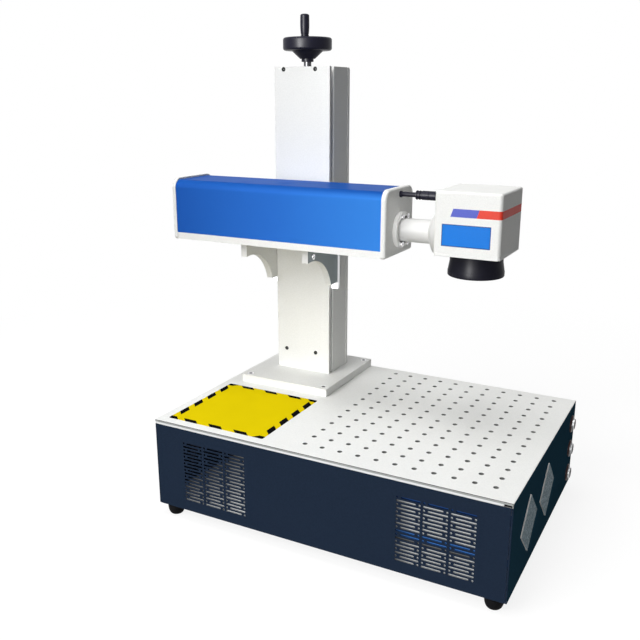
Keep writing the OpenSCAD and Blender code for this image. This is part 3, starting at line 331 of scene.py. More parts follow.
def finish(name, rgb, rough, **given):
    """A material of the machine. Its colour, gloss and grain vary over the surface.

    rgb is a colour, or a function that gets the wiring and returns the colour's field."""
    look = dict(
        metallic=0.0, coat=0.0, coat_rough=0.1, specular=0.5, glow=0.0, stretch=None, fine=0.0,
        grain_scale=900.0, grain_depth=0.02, grain_strength=0.25, mottle_scale=9.0, mottle=0.03, smudge=0.06,
    )
    look.update(given)
    mottle_low, mottle_high, grain_low, grain_high, stretched_detail = 0.3, 0.7, 0.35, 0.65, 3.0
    _, wiring, shader = new_material(name)
    scales = {"Grain scale": look["grain_scale"], "Mottle scale": look["mottle_scale"]}
    surface = wiring.node("ShaderNodeGroup", scales, node_tree=surface_group())
    grain, mottle, smudge = (Field(socket) for socket in surface.outputs)
    ground = rgb(wiring) if callable(rgb) else rgb[:3]
    shade = mottle.ramp(mottle_low, mottle_high, 1.0 - look["mottle"], 1.0 + look["mottle"])
    shade = shade * grain.ramp(grain_low, grain_high, 1.0 - look["fine"], 1.0 + look["fine"])
    scaled = wiring.node("ShaderNodeVectorMath", {0: ground, "Scale": shade}, operation="SCALE")
    scaled = Field(scaled.outputs[0])
    height = grain
    if look["stretch"]:
        mapping = wiring.node("ShaderNodeMapping", {"Vector": wiring.place(), "Scale": look["stretch"]})
        height = wiring.noise(Field(mapping.outputs[0]), look["grain_scale"], stretched_detail)
    depth = look["grain_depth"] * MILLIMETRE
    relief = {"Strength": look["grain_strength"], "Distance": depth, "Height": height}
    fill(shader, {
        "Base Color": scaled,
        "Roughness": smudge.ramp(0.0, 1.0, rough, min(1.0, rough + look["smudge"])),
        "Normal": Field(wiring.node("ShaderNodeBump", relief).outputs[0]),
        "Metallic": look["metallic"],
        "Coat Weight": look["coat"],
        "Coat Roughness": look["coat_rough"],
        "Specular IOR Level": look["specular"],
    })
    # A glowing finish shines by itself: painted light.
    if look["glow"]:
        fill(shader, {"Emission Color": scaled, "Emission Strength": look["glow"]})


def white_painted_shade_pattern(wiring):
    """White coat with painted shade: a little duller towards the arm's left end."""
    colours = chosen()[1]
    left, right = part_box("arm_left_cap")[0].x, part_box("column_cover")[1].x
    return wiring.blend(wiring.axes()[0].ramp(left, right), colours.white_painted_shade_left, colours.white)


def tube_painted_highlight_pattern(wiring):
    """Satin metal, bright on the flange as a painted highlight, and duller on the collar."""
    colours = chosen()[1]
    low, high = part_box("beam_tube")
    flange_end, fade_start, fade_end = mm(6.2, 14, 11)
    x = wiring.axes()[0]
    metal = wiring.blend(x > low.x + flange_end, colours.flange, colours.tube)
    return wiring.blend(x.ramp(high.x - fade_start, high.x - fade_end), metal, colours.collar)


def plate_hole_shade_pattern(wiring):
    """White coat with a narrow ring of painted shade round each hole of the grid, standing in for a
    countersink.
    """
    sizes, colours = chosen()
    grid = next(mount for mount in frame["record"]["mounts"] if mount["name"] == "table_grid")
    pitch, squares, inside = sizes.grid_pitch, [], []
    for value, centre, span in zip(wiring.axes(), grid["pos_m"], ("spacing_x_mm", "spacing_y_mm")):
        half = grid["dims"][span] * MILLIMETRE / 2
        from_first = value - (centre - half)
        offset = from_first - (from_first / pitch).apply("ROUND") * pitch
        squares.append(abs(offset) ** 2.0)
        inside.append(from_first.between(-pitch / 2, 2 * half + pitch / 2))
    away = (squares[0] + squares[1]).apply("SQRT")
    # The ring round each hole is painted shade, in the cut edge's grey.
    return wiring.blend((away < sizes.hole_shade_ring) * inside[0] * inside[1], colours.white, colours.cut_edge_and_hole_shade)


def panel_slot_shade_pattern(wiring):
    """Navy coat. The walls of the vents' slots take the lining's colours, with its painted light and shadow,
    mixed with darkened navy as painted shade.
    """
    navy = chosen()[1].navy
    skin, slot_shade_share, dark_tint = 0.2 * MILLIMETRE, 0.4, 0.1
    behind = wiring.axes()[1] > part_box("front_panel")[0].y + skin
    # Painted light and shade on the slot walls: the lining's colours mixed with darkened navy.
    wall = wiring.blend(slot_shade_share, lining_painted_light_pattern(wiring), tinted(navy, dark_tint))
    return wiring.blend(behind, navy, wall)


def cover_painted_light_pattern(wiring):
    """Blue with painted light: lighter from the arm's left end to the head, and deeper on top as painted
    shade.
    """
    colours = chosen()[1]
    low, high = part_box("arm_cover")
    middle = (low.x + high.x) / 2
    shoulder, crown = mm(9, 2)
    x, _, z = wiring.axes()
    front = wiring.blend(x.ramp(low.x, middle), colours.blue_painted_shade_left, colours.blue)
    front = wiring.blend(x.ramp(middle, high.x), front, colours.blue_painted_light_right)
    return wiring.blend(z.ramp(high.z - shoulder, high.z - crown), front, colours.blue_painted_shade_top)


def dashes(along, across, whole, band, pitch, start, share):
    """Slanted dashes of a border's two bands. Each band slants from its own low edge."""
    across = across - (across > whole / 2) * (whole - band)
    return ((along + across) / pitch - start).apply("FRACT") < share


def label_pattern(wiring):
    """Yellow ground inside a border of slanted black dashes."""
    sizes, colours = chosen()
    low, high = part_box("table_label")
    wide, deep = high.x - low.x, high.y - low.y
    side_band, end_band = sizes.label_band, sizes.label_end_band
    side_start, side_share, end_start, end_share = 0.76, 0.60, 0.68, 0.50
    clear_of_corner = 1.4
    x, y, _ = wiring.axes()
    u, v = x - low.x, y - low.y
    from_side, from_end = u.least(wide - u), v.least(deep - v)
    in_end = from_end < end_band
    side = (from_side < side_band) * (from_end > end_band * clear_of_corner)
    side = side * dashes(v, u, wide, side_band, sizes.dash_down, side_start, side_share)
    end = in_end * dashes(u, v, deep, end_band, sizes.dash_across, end_start, end_share)
    corner = in_end * (from_side + from_end < sizes.label_corner_dash)
    return wiring.blend(corner.most(side.most(end)), colours.yellow, colours.ink)


def head_pattern(wiring):
    """White coat with a blue field and a stripe that runs round the head's right side.

    Lengths are in millimetres, from the head's left side and from its foot."""
    colours = chosen()[1]
    low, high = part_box("head_cover")
    stripe_foot, stripe_top, slant = 50.4, 60.6, 0.34
    blue_start, red_start = 21.2, 54.5
    left, right, foot, top, border = 10.6, 73.5, 13.2, 41.1, 1.2
    reach = 4.6 * MILLIMETRE
    border_tint = 0.42
    x, y, z = wiring.axes()
    across = (x - low.x) / MILLIMETRE
    up = (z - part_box("head_base")[0].z) / MILLIMETRE
    on_front, on_right = y < low.y + reach, x > high.x - reach
    slanted = across - (up - stripe_foot) * slant
    band = up.between(stripe_foot, stripe_top)
    stripe = band * (slanted > red_start) * on_front.most(on_right)
    start = band * slanted.between(blue_start, red_start) * on_front
    inset = (across - left).least(right - across).least((up - foot).least(top - up))
    result = wiring.blend(stripe, colours.white, colours.stripe_red)
    result = wiring.blend(start, result, colours.stripe_blue)
    result = wiring.blend((inset > 0.0) * on_front, result, tinted(colours.panel_blue, border_tint))
    return wiring.blend((inset > border) * on_front, result, colours.panel_blue)


def lining_painted_light_pattern(wiring):
    """Light sheet with blue bands on the right-hand one. Painted shadow makes the left-hand one black above
    a slanted edge, lightening below it, and painted shade darkens the right-hand one towards its left side.

    Lengths are in millimetres, from the lining's left side and from its foot."""
    colours = chosen()[1]
    low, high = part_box("vent_linings")
    # Painted shadow: black above a slanted edge, lightening below it; painted shade along the right-hand
    # sheet's left side.
    shadow_edge_foot, shadow_edge_slope, shadow_reach, shadow_level = 37.0, 0.72, 105.0, 0.05
    right_wide, shade_start, shade_end, shade_level = *mm(107, 4, 24), 0.30
    gap_foot, bar_foot, bar_top, row_foot, row_top = 40.8, 45.6, 55.0, 97.0, 110.0
    left_tint, right_tint, gap_tint, shadow_tint = 0.9, 0.62, 0.16, 0.003
    x, _, z = wiring.axes()
    right = x > (low.x + high.x) / 2
    across, up = (x - low.x) / MILLIMETRE, (z - low.z) / MILLIMETRE
    from_shadow_edge = across * shadow_edge_slope + shadow_edge_foot - up
    behind = from_shadow_edge > 0.0
    lit_share = right.most(behind * from_shadow_edge.ramp(0.0, shadow_reach, shadow_level, 1.0))
    from_left = x - (high.x - right_wide)
    lit_share = lit_share * (1.0 - right).most(from_left.ramp(shade_start, shade_end, shade_level, 1.0))
    ground = wiring.blend(right, tinted(colours.trim, left_tint), tinted(colours.trim, right_tint))
    ground = wiring.blend(right * up.between(bar_foot, bar_top), ground, colours.lining_blue)
    ground = wiring.blend(right * up.between(row_foot, row_top), ground, colours.lining_top)
    ground = wiring.blend(right * up.between(gap_foot, bar_foot), ground, tinted(colours.trim, gap_tint))
    return wiring.blend(lit_share, tinted(colours.trim, shadow_tint), ground)


def speckles(wiring):
    """Fine pale grains on a dark slate ground."""
    slate = chosen()[1].slate
    grain_scale, grain_edge, grain_core, grain_share = 620.0, 0.28, 0.14, 0.75
    patch_scale, patch_low, patch_high = 240.0, 0.42, 0.62
    dark_tint, light_tint, grain_tint = 0.72, 1.5, 4.2
    cells = wiring.node("ShaderNodeTexVoronoi", {"Vector": wiring.place(), "Scale": grain_scale})
    pale = Field(cells.outputs["Distance"]).ramp(grain_edge, grain_core)
    patches = wiring.noise(wiring.place(), patch_scale).ramp(patch_low, patch_high)
    ground = wiring.blend(patches, tinted(slate, dark_tint), tinted(slate, light_tint))
    return wiring.blend(pale * grain_share, ground, tinted(slate, grain_tint))


def clear_glass():
    """Coated glass of the lens."""
    _, wiring, shader = new_material("Coated glass")
    violet, green, tint_scale = (0.55, 0.62, 0.85), (0.50, 0.72, 0.70), 12.0
    fill(shader, {
        "Base Color": wiring.blend(wiring.noise(wiring.place(), tint_scale), violet, green),
        "Roughness": 0.04,
        "Transmission Weight": 0.9,
        "IOR": 1.46,
        "Coat Weight": 0.6,
        "Coat Roughness": 0.03,
    })


FINISH_OF = {
    "Drilled plate, painted hole shade": "table_plate",
    "White coat": "column_foot_plate column_cover column_left_profile column_right_profile "
    "column_back_plate left_bracket right_bracket arm_floor arm_left_cap arm_right_cap head_base",
    "Satin metal": "beam_tube",
    "Vented panel, painted slot shade": "front_panel",
    "Navy coat": "left_side_panel rear_panel floor_pan",
    "Navy side, painted reflection": "right_side_panel",
    "Blue coat": "arm_cover",
    "Printed head": "head_cover",
    "Trim": "edge_strip",
    "Vent lining, painted light and shadow": "vent_linings",
    "Label film": "table_label",
    "Speckled plate": "diamond_plates",
    "Steel": "housing_screws guide_rods screw_bearings",
    "Bright steel": "flange_screws bracket_screws",
    "Button ring": "button_rings",
    "Dark steel and painted shade": "column_screws",
    "Black steel": "lead_screw",
    "Brushed aluminium": "corner_posts power_supply column_end_blocks carriage_plate carriage_block "
    "laser_source top_button middle_button bottom_button",
    "Bronze": "lead_nut",
    "Black plastic": "power_inlet fan_frames front_fan_rotor rear_fan_rotor handwheel wheel_grip "
    "cable_gland cable_connector",
    "Cable jacket": "scanner_cable",
    "Black metal": "beam_expander galvo_motors lens_barrel",
    "Rocker": "switch_rocker",
    "Board": "control_board",
    "Rubber": "rubber_feet",
    "Coated glass": "lens_glass",
    "Gold mirror": "front_mirror rear_mirror",
}


def build_finishes():
    """Every material of the machine, and the nodes that wear it."""
    c = chosen()[1]
    coat = dict(grain_scale=520.0, grain_depth=0.05, grain_strength=0.16, mottle=0.018, smudge=0.08)
    white = dict(coat, specular=0.1, fine=0.03, grain_scale=700.0)
    navy = dict(coat, specular=0.004, fine=0.06)
    plastic = dict(grain_scale=1500.0, grain_depth=0.03, grain_strength=0.3, mottle=0.08, smudge=0.10)
    metal = dict(metallic=1.0, grain_scale=1200.0, grain_depth=0.012, mottle=0.05, smudge=0.10)
    lathe = dict(metal, stretch=(1.0, 1.0, 0.03), grain_strength=0.35)
    speckled = dict(specular=0.1, grain_scale=620.0, grain_depth=0.12, grain_strength=0.5)
    # White coat holds painted shade towards the arm's left end.
    finish("White coat", white_painted_shade_pattern, 0.42, **white)
    # Drilled plate holds the painted shade rings round the holes.
    finish("Drilled plate, painted hole shade", plate_hole_shade_pattern, 0.42, **white)
    finish("Printed head", head_pattern, 0.40, **dict(white, specular=0.04))
    finish("Navy coat", c.navy, 0.46, **navy)
    # Vented panel holds the painted light and shade of the slot walls.
    finish("Vented panel, painted slot shade", panel_slot_shade_pattern, 0.46, **navy)
    # Navy side holds the painted reflection on the housing's right side.
    finish("Navy side, painted reflection", c.navy_painted_reflection_side, 0.46, **dict(navy, specular=0.0))
    # Blue coat holds painted light along the cover and painted shade on its top.
    finish("Blue coat", cover_painted_light_pattern, 0.34, specular=0.004, **coat)
    # Satin metal holds a painted highlight on the flange.
    finish("Satin metal", tube_painted_highlight_pattern, 0.38, specular=0.1, **coat)
    # Bracket side holds painted shade.
    finish("Bracket side, painted shade", c.bracket_painted_shade, 0.5, specular=0.1, **coat)
    finish("Cut edge", c.cut_edge_and_hole_shade, 0.6, specular=0.1, **coat)
    # Thread holds the bare thread and painted shade inside the holes.
    finish("Thread, painted shade", c.thread, 0.5, specular=0.1, **coat)
    finish("Trim", c.trim, 0.5, **coat)
    # The lining glows: painted light on the sheet behind the slots, on top of its painted shadow.
    finish("Vent lining, painted light and shadow", lining_painted_light_pattern, 0.8, fine=0.08, specular=0.05, glow=0.6, **coat)
    finish("Label film", label_pattern, 0.40, specular=0.0, mottle=0.035, grain_strength=0.1)
    finish("Speckled plate", speckles, 0.62, **speckled)
    finish("Steel", c.steel, 0.34, **metal)
    finish("Bright steel", tinted(c.steel, 1.3), 0.16, **metal)
    finish("Dark steel and painted shade", c.dark_steel_and_painted_shade, 0.4, specular=0.1, grain_strength=0.1)
    finish("Black steel", c.black_steel, 0.33, **dict(metal, metallic=0.35))
    finish("Brushed aluminium", c.aluminium, 0.36, **lathe)
    finish("Bronze", c.bronze, 0.33, **metal)
    finish("Black plastic", c.black, 0.38, specular=0.12, **plastic)
    finish("Cable jacket", tinted(c.black, 0.9), 0.5, specular=0.12, **plastic)
    finish("Black metal", c.anodised, 0.38, specular=0.05, grain_scale=1600.0, mottle=0.06, smudge=0.04)
    finish("Rocker", c.rocker, 0.3, **plastic)
    finish("Board", c.board, 0.35, coat=0.5, mottle=0.15, mottle_scale=60.0)
    finish("Rubber", c.rubber, 0.62, specular=0.03, **plastic)
    finish("Button ring", c.button_ring, 0.3, specular=0.1, grain_strength=0.1)
    finish("Button light", c.red_ring, 0.25, specular=0.1, **plastic)
    finish("Gold mirror", c.gold, 0.05, metallic=1.0, grain_strength=0.0)
    clear_glass()
    for name, nodes in FINISH_OF.items():
        for node in nodes.split():
            wear(frame["nodes"][node], name)


def wear(piece, name):
    """Gives a piece one finish."""
    piece.data.materials.clear()
    piece.data.materials.append(bpy.data.materials[name])


def wear_on(piece, name, test):
    """Gives the faces that pass a test another finish."""
    piece.data.materials.append(bpy.data.materials[name])
    for face in piece.data.polygons:
        if test(face):
            face.material_index = len(piece.data.materials) - 1


def finish_of(node):
    """The name of a node's finish."""
    return next(name for name, nodes in FINISH_OF.items() if node in nodes.split())


def slot_of(node):
    """The record's material slot of a node."""
    return next(part["material_slot"] for part in frame["record"]["subparts"] if part["node"] == node)


def body_of(node):
    """The body that a node belongs to."""
    bodies = frame["record"]["behaviour"]["bodies"]
    return next(body for body, nodes in bodies.items() if node in nodes)


# Modelling


def deselect():
    """Leaves edit mode and selects nothing."""
    if bpy.context.object and bpy.context.object.mode != "OBJECT":
        bpy.ops.object.mode_set(mode="OBJECT")
    bpy.ops.object.select_all(action="DESELECT")


def choose(piece):
    """Selects one piece and makes it active."""
    deselect()
    piece.select_set(True)
    bpy.context.view_layer.objects.active = piece


def pick(piece, kind, test):
    """Opens a piece in edit mode with the edges or faces selected that pass a test.

    An edge is tested by its two ends, a face by its middle and its normal."""
    choose(piece)
    mesh = piece.data
    for part in (*mesh.vertices, *mesh.edges, *mesh.polygons):
        part.select = False
    bpy.context.tool_settings.mesh_select_mode = (False, kind == "EDGE", kind == "FACE")
    if kind == "EDGE":
        for edge in mesh.edges:
            edge.select = test(*(mesh.vertices[i].co for i in edge.vertices))
    else:
        for face in mesh.polygons:
            face.select = test(face.center, face.normal)
    bpy.ops.object.mode_set(mode="EDIT")


def block(name, low, high):
    """A cube between two corners, to be shaped further."""
    deselect()
    bpy.ops.mesh.primitive_cube_add(size=1, location=(low + high) / 2)
    piece = bpy.context.object
    piece.name = name
    piece.dimensions = high - low
    bpy.ops.object.transform_apply(location=True, rotation=True, scale=True)
    return piece


def turned(name, rings, sides=None):
    """A piece turned about the Z axis: a circle is extruded and resized from ring to ring.

    rings holds (radius, height). A hole at its first or last ring is closed, unless the outline
    returns to its start, where the two meet."""
    deselect()
    radius, height = rings[0]
    sides = sides or chosen()[0].round_sides
    bpy.ops.mesh.primitive_circle_add(vertices=sides, radius=radius, location=(0, 0, height))
    piece = bpy.context.object
    piece.name = name
    bpy.ops.object.transform_apply(location=True, rotation=True, scale=True)
    bpy.context.tool_settings.mesh_select_mode = (False, True, False)
    bpy.ops.object.mode_set(mode="EDIT")
    bpy.ops.mesh.select_all(action="SELECT")
    for next_radius, next_height in rings[1:]:
        bpy.ops.mesh.extrude_edges_move(TRANSFORM_OT_translate={"value": (0, 0, next_height - height)})
        share = next_radius / radius
        bpy.ops.transform.resize(value=(share, share, 1), center_override=(0, 0, next_height))
        radius, height = next_radius, next_height
    bpy.ops.mesh.select_all(action="SELECT")
    bpy.ops.mesh.remove_doubles(threshold=1e-6)
    bpy.ops.mesh.fill_holes(sides=0)
    bpy.ops.mesh.select_all(action="SELECT")
    bpy.ops.mesh.normals_make_consistent(inside=False)
    bpy.ops.object.mode_set(mode="OBJECT")
    return piece


def arc(radius, height, corner, first, last, steps=6):
    """Rings along a rounded corner, by the angle in degrees from outwards to upwards."""
    angles = [math.radians(first + (last - first) * i / steps) for i in range(steps + 1)]
    return [(radius + corner * math.cos(angle), height + corner * math.sin(angle)) for angle in angles]


def rings_at(radius, height, *steps):
    """Rings of an outline, by their distances in millimetres from a radius and a height."""
    return [(radius + across * MILLIMETRE, height + up * MILLIMETRE) for across, up in steps]


def groove(radius, start, width, depth, slope=GROOVE_SLOPE):
    """Rings of a groove with slanted walls. A width below 0 runs downwards."""
    slope = math.copysign(slope, width)
    floor = radius - depth
    return [(radius, start), (floor, start + slope), (floor, start + width - slope), (radius, start + width)]


def put(piece, at, along="Z"):
    """Turns a piece from the Z axis to another and moves it to its place."""
    choose(piece)
    if along == "X":
        piece.rotation_euler = (0, math.pi / 2, 0)
    piece.location = at
    bpy.ops.object.transform_apply(location=True, rotation=True, scale=True)
    return piece


def modified(piece, kind, **settings):
    """Adds one modifier to a piece and applies it."""
    choose(piece)
    modifier = piece.modifiers.new(kind.title(), kind)
    for name, value in settings.items():
        setattr(modifier, name, value)
    bpy.ops.object.modifier_apply(modifier=modifier.name)
    return piece


def bevelled(piece, width, segments, angle):
    """Rounds every edge of a piece that is sharper than an angle in degrees."""
    limit = math.radians(angle)
    return modified(piece, "BEVEL", width=width, segments=segments, limit_method="ANGLE", angle_limit=limit)


def round_edges(piece, test, width, segments):
    """Rounds the edges that pass a test."""
    pick(piece, "EDGE", test)
    bpy.ops.mesh.bevel(offset=width, segments=segments, profile=0.5, affect="EDGES")
    bpy.ops.object.mode_set(mode="OBJECT")


def open_faces(piece, test):
    """Deletes the faces that pass a test."""
    pick(piece, "FACE", test)
    bpy.ops.mesh.delete(type="FACE")
    bpy.ops.object.mode_set(mode="OBJECT")


def joined(name, pieces):
    """Several pieces as one."""
    choose(pieces[0])
    for piece in pieces:
        piece.select_set(True)
    bpy.ops.object.join()
    pieces[0].name = name
    return pieces[0]


def copied(piece, shift):
    """A copy with a mesh of its own, moved."""
    choose(piece)
    bpy.ops.object.duplicate()
    copy = bpy.context.object
    copy.location = shift
    bpy.ops.object.transform_apply(location=True, rotation=False, scale=False)
    return copy


def merged(node, name):
    """A copy of a CAD node with its corners merged."""
    choose(frame["nodes"][node])
    bpy.ops.object.duplicate()
    piece = bpy.context.object
    piece.name = name
    piece.parent = None
    for key in list(piece.keys()):
        del piece[key]
    bpy.ops.object.mode_set(mode="EDIT")
    bpy.ops.mesh.select_all(action="SELECT")
    bpy.ops.mesh.remove_doubles(threshold=1e-6)
    bpy.ops.object.mode_set(mode="OBJECT")
    return piece


def from_frame(node, edge, segments=2, angle=25):
    """A copy of a CAD node, dissolved into whole faces, with its edges rounded."""
    piece = merged(node, node + "_piece")
    bpy.ops.object.mode_set(mode="EDIT")
    bpy.ops.mesh.select_all(action="SELECT")
    bpy.ops.mesh.dissolve_limited(angle_limit=math.radians(0.5))
    bpy.ops.object.mode_set(mode="OBJECT")
    return bevelled(piece, edge, segments, angle)


def done(piece, finish_name, *nodes, body=None, smooth=35, flat=False):
    """Shades a finished piece, gives it its material and body, and hides the nodes it stands for.

    Edges sharper than smooth, in degrees, stay sharp. flat shades a piece of large flat faces evenly."""
    choose(piece)
    bpy.ops.object.shade_smooth_by_angle(angle=math.radians(smooth))
    if flat:
        modified(piece, "WEIGHTED_NORMAL", keep_sharp=True, weight=100)
    wear(piece, finish_name)
    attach(piece, body or body_of(nodes[0]))
    if nodes:
        slot_of(nodes[0])
        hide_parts(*nodes)
    return piece


def dress(node, edge, segments=2, angle=25):
    """Stands a rounded copy in for a CAD node."""
    return done(from_frame(node, edge, segments, angle), finish_of(node), node, flat=True)


def same(first, second, axes):
    """Whether two places agree on some axes."""
    return all(abs(getattr(first, axis) - getattr(second, axis)) < NEAR for axis in axes)


class FinishMachine(Operator):
    """Makes every material and puts it on the frame's nodes"""

    bl_idname = "marker.finishes"
    bl_label = "Finishes"

    def execute(self, context):
        build_finishes()
        return {"FINISHED"}


class BuildHousing(Operator):
    """Table plate, side panels, label, side plates and feet"""

    bl_idname = "marker.housing"
    bl_label = "Housing"

    def execute(self, context):
        sizes = context.scene.marker_sizes
        self.plate(sizes)
        dress("edge_strip", sizes.sheet_edge * 0.8)
        for node in ("left_side_panel", "rear_panel"):
            dress(node, sizes.sheet_edge)
        side = dress("right_side_panel", sizes.sheet_edge)
        # Only the side panel's front-facing faces keep the plain navy; the rest shows the painted
        # reflection.
        wear_on(side, "Navy coat", lambda face: face.normal.y < -0.3)
        plates = dress("diamond_plates", sizes.sheet_edge)
        # The plates' front edges wear satin metal: a painted highlight along them.
        wear_on(plates, "Satin metal", lambda face: abs(face.normal.x) < 0.6 and face.normal.y < 0)
        self.label(sizes)
        self.feet()
        return {"FINISHED"}

    def plate(self, sizes):
        """The plate, rounded along its rim, with threads, cut edge and groove in their own finish."""
        low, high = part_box("table_plate")
        margin, skin = mm(10, 0.1)
        plate = merged("table_plate", "table_plate_piece")

        def on_rim(first, second):
            outside = any(same(first, corner, axis) and same(second, corner, axis)
                          for corner in (low, high) for axis in "xy")
            level = same(first, second, "z") and same(first, high, "z")
            return outside and (level or same(first, second, "xy"))

        def is_thread(face):
            middle = face.center
            inside = all(low[i] + margin < middle[i] < high[i] - margin for i in (0, 1))
            return inside and abs(face.normal.z) < 0.5

        def is_cut(face):
            return same(face.center, low, "y") and face.normal.y < -0.9

        def is_groove(face):
            in_front = face.center.y < low.y + margin and face.center.z < high.z - skin
            return in_front and abs(face.normal.x) < 0.9 and not is_cut(face)

        def is_right_edge(face):
            return same(face.center, high, "x") and face.normal.x > 0.9

        round_edges(plate, on_rim, sizes.sheet_edge, 3)
        done(plate, "Drilled plate, painted hole shade", "table_plate", smooth=1)
        # The hole walls are darkened: painted shade inside the holes.
        wear_on(plate, "Thread, painted shade", is_thread)
        wear_on(plate, "Cut edge", is_cut)
        # The groove's faces wear black rubber: painted shade in the groove.
        wear_on(plate, "Rubber", is_groove)
        # The plate's right edge takes the side panel's navy with its painted reflection.
        wear_on(plate, "Navy side, painted reflection", is_right_edge)

    def label(self, sizes):
        film = block("label_film", *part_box("table_label"))
        round_edges(film, lambda a, b: same(a, b, "xy"), sizes.label_corner, 6)
        done(film, "Label film", "table_label", flat=True)

    def feet(self):
        """Four feet with a domed sole, a groove under the neck and a hole for the screw."""
        low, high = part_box("rubber_feet")
        tall = high.z
        radius, sole, recess, bore, edge = mm(12, 7, 3.6, 2.4, 0.6)
        dome, groove_foot, groove_tall, slope = (tall * share for share in (0.75, 0.80, 0.08, 0.02))
        outline = [(recess, tall / 2), (recess, 0)] + rings_at(sole, 0, (-0.1, 0))
        for degrees in range(15, 91, 15):
            angle = math.radians(degrees)
            outline.append((sole + (radius - sole) * math.sin(angle), dome * (1 - math.cos(angle))))
        outline += groove(radius, groove_foot, groove_tall, edge, slope)
        outline += [(radius, tall - edge), (radius - edge, tall), (bore, tall), (bore, tall / 2), outline[0]]
        first = turned("foot", outline)
        across, along = (low.x + radius, high.x - radius), (low.y + radius, high.y - radius)
        feet = [copied(first, (x, y, 0)) for x in across for y in along]
        bpy.data.objects.remove(first)
        done(joined("feet", feet), "Rubber", "rubber_feet")


class BuildButtons(Operator):
    """Three push buttons: blackened ring, cap and light ring"""

    bl_idname = "marker.buttons"
    bl_label = "Buttons"

    def execute(self, context):
        low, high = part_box("button_rings")
        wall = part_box("right_side_panel")[1].x
        rings = []
        for node in ("top_button", "middle_button", "bottom_button"):
            button_low, button_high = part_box(node)
            centre = (button_low + button_high) / 2
            radius = (button_high.z - button_low.z) / 2
            at = (wall, centre.y, centre.z)
            outline = self.ring(radius, (high.y - low.y) / 2, low.x - wall, high.x - wall)
            rings.append(put(turned("button_ring", outline), at, "X"))
            self.cap(node, radius, button_low.x - wall, button_high.x - wall, at)
        done(joined("button_ring_set", rings), "Button ring", "button_rings")
        return {"FINISHED"}

    def ring(self, cap_radius, radius, back, front):
        """Outline of a ring with a rounded rim and a threaded body behind the panel."""
        pocket, corner = mm(-6, 2.4)
        outline = rings_at(cap_radius, pocket, (0.1, 0)) + rings_at(cap_radius, front, (0.1, -0.6), (0.6, 0))
        outline += rings_at(radius, front, (-2.8, 0)) + arc(radius - corner, 0, corner, 75, 0)
        outline += rings_at(radius, 0, (-3, 0)) + rings_at(radius, back, (-3, 0))
        return outline + rings_at(0, back, (4.7, 0)) + rings_at(0, pocket, (4.7, 0)) + outline[:1]

    def cap(self, node, radius, low, high, at):
        """A cap with a bright side and a dark shallow dish, which paint a highlight on its side, and a light
        ring let into it.
        """
        corner = 0.8 * MILLIMETRE
        outline = [(POLE, low)] + rings_at(0, low, (4.3, 0), (4.5, 0.3)) + rings_at(0, 0, (4.5, -3))
        outline += rings_at(radius, 0, (-0.1, -3)) + rings_at(radius, high, (-0.1, -0.9))
        outline += arc(radius - 0.9 * MILLIMETRE, high - corner, corner, 0, 90, 4)
        for share, sunk in ((0.72, -0.1), (0.68, -0.2), (0.35, -0.4)):
            outline += rings_at(radius * share, high, (0, sunk))
        outline += rings_at(POLE, high, (0, -0.5))
        cap = done(put(turned(node + "_cap", outline), at, "X"), "Brushed aluminium", node)
        # The cap's faces are dark and its side bright: a painted highlight on the side.
        wear_on(cap, "Dark steel and painted shade", lambda face: abs(face.normal.x) > 0.6)
        inner, outer = radius * 0.74, radius * 0.88
        light = rings_at(inner, high, (0, -0.4), (0, 0)) + rings_at(outer, high, (0, 0), (0, -0.4))
        glow = put(turned(node + "_light", light + light[:1]), at, "X")
        done(glow, "Button light", body=body_of(node))


class BuildColumn(Operator):
    """Foot plate, cover, screws, side profiles and back plate of the column"""

    bl_idname = "marker.column"
    bl_label = "Column"

    def execute(self, context):
        sizes = context.scene.marker_sizes
        edge = sizes.sheet_edge
        dress("column_foot_plate", edge * 1.4, 3)
        self.cover(edge * 0.8, sizes.column_corner)
        self.screws(edge * 0.4)
        for node in ("column_left_profile", "column_right_profile", "column_back_plate", "carriage_plate"):
            dress(node, edge)
        return {"FINISHED"}

    def cover(self, edge, corner):
        low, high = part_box("column_cover")
        reach = 1.5 * edge
        cover = from_frame("column_cover", edge)

        def at_top_corner(first, second):
            at_side = min(abs(first.x - low.x), abs(first.x - high.x)) < reach
            return same(first, second, "xz") and first.z > high.z - reach and at_side

        round_edges(cover, at_top_corner, corner, 4)
        done(cover, "White coat", "column_cover", flat=True)

    def screws(self, edge):
        """Dark screws: the cover's with a bright middle as a painted highlight, the foot plate's with a
        bright head.
        """
        rim = 1.1 * MILLIMETRE
        foot_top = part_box("column_foot_plate")[1].z
        piece = from_frame("column_screws", edge, 1)
        # The bright middle of each cover screw is a painted highlight.
        pick(piece, "FACE", lambda middle, normal: normal.y < -0.99)
        bpy.ops.mesh.inset(thickness=rim, depth=0, use_individual=True)
        bpy.ops.object.mode_set(mode="OBJECT")
        highlight_middles = {face.index for face in piece.data.polygons if face.select}

        def is_bright(face):
            on_head = face.normal.z > 0.99 and abs(face.center.z - foot_top) < MILLIMETRE
            return on_head or face.index in highlight_middles

        done(piece, "Dark steel and painted shade", "column_screws", flat=True)
        wear_on(piece, "Bright steel", is_bright)


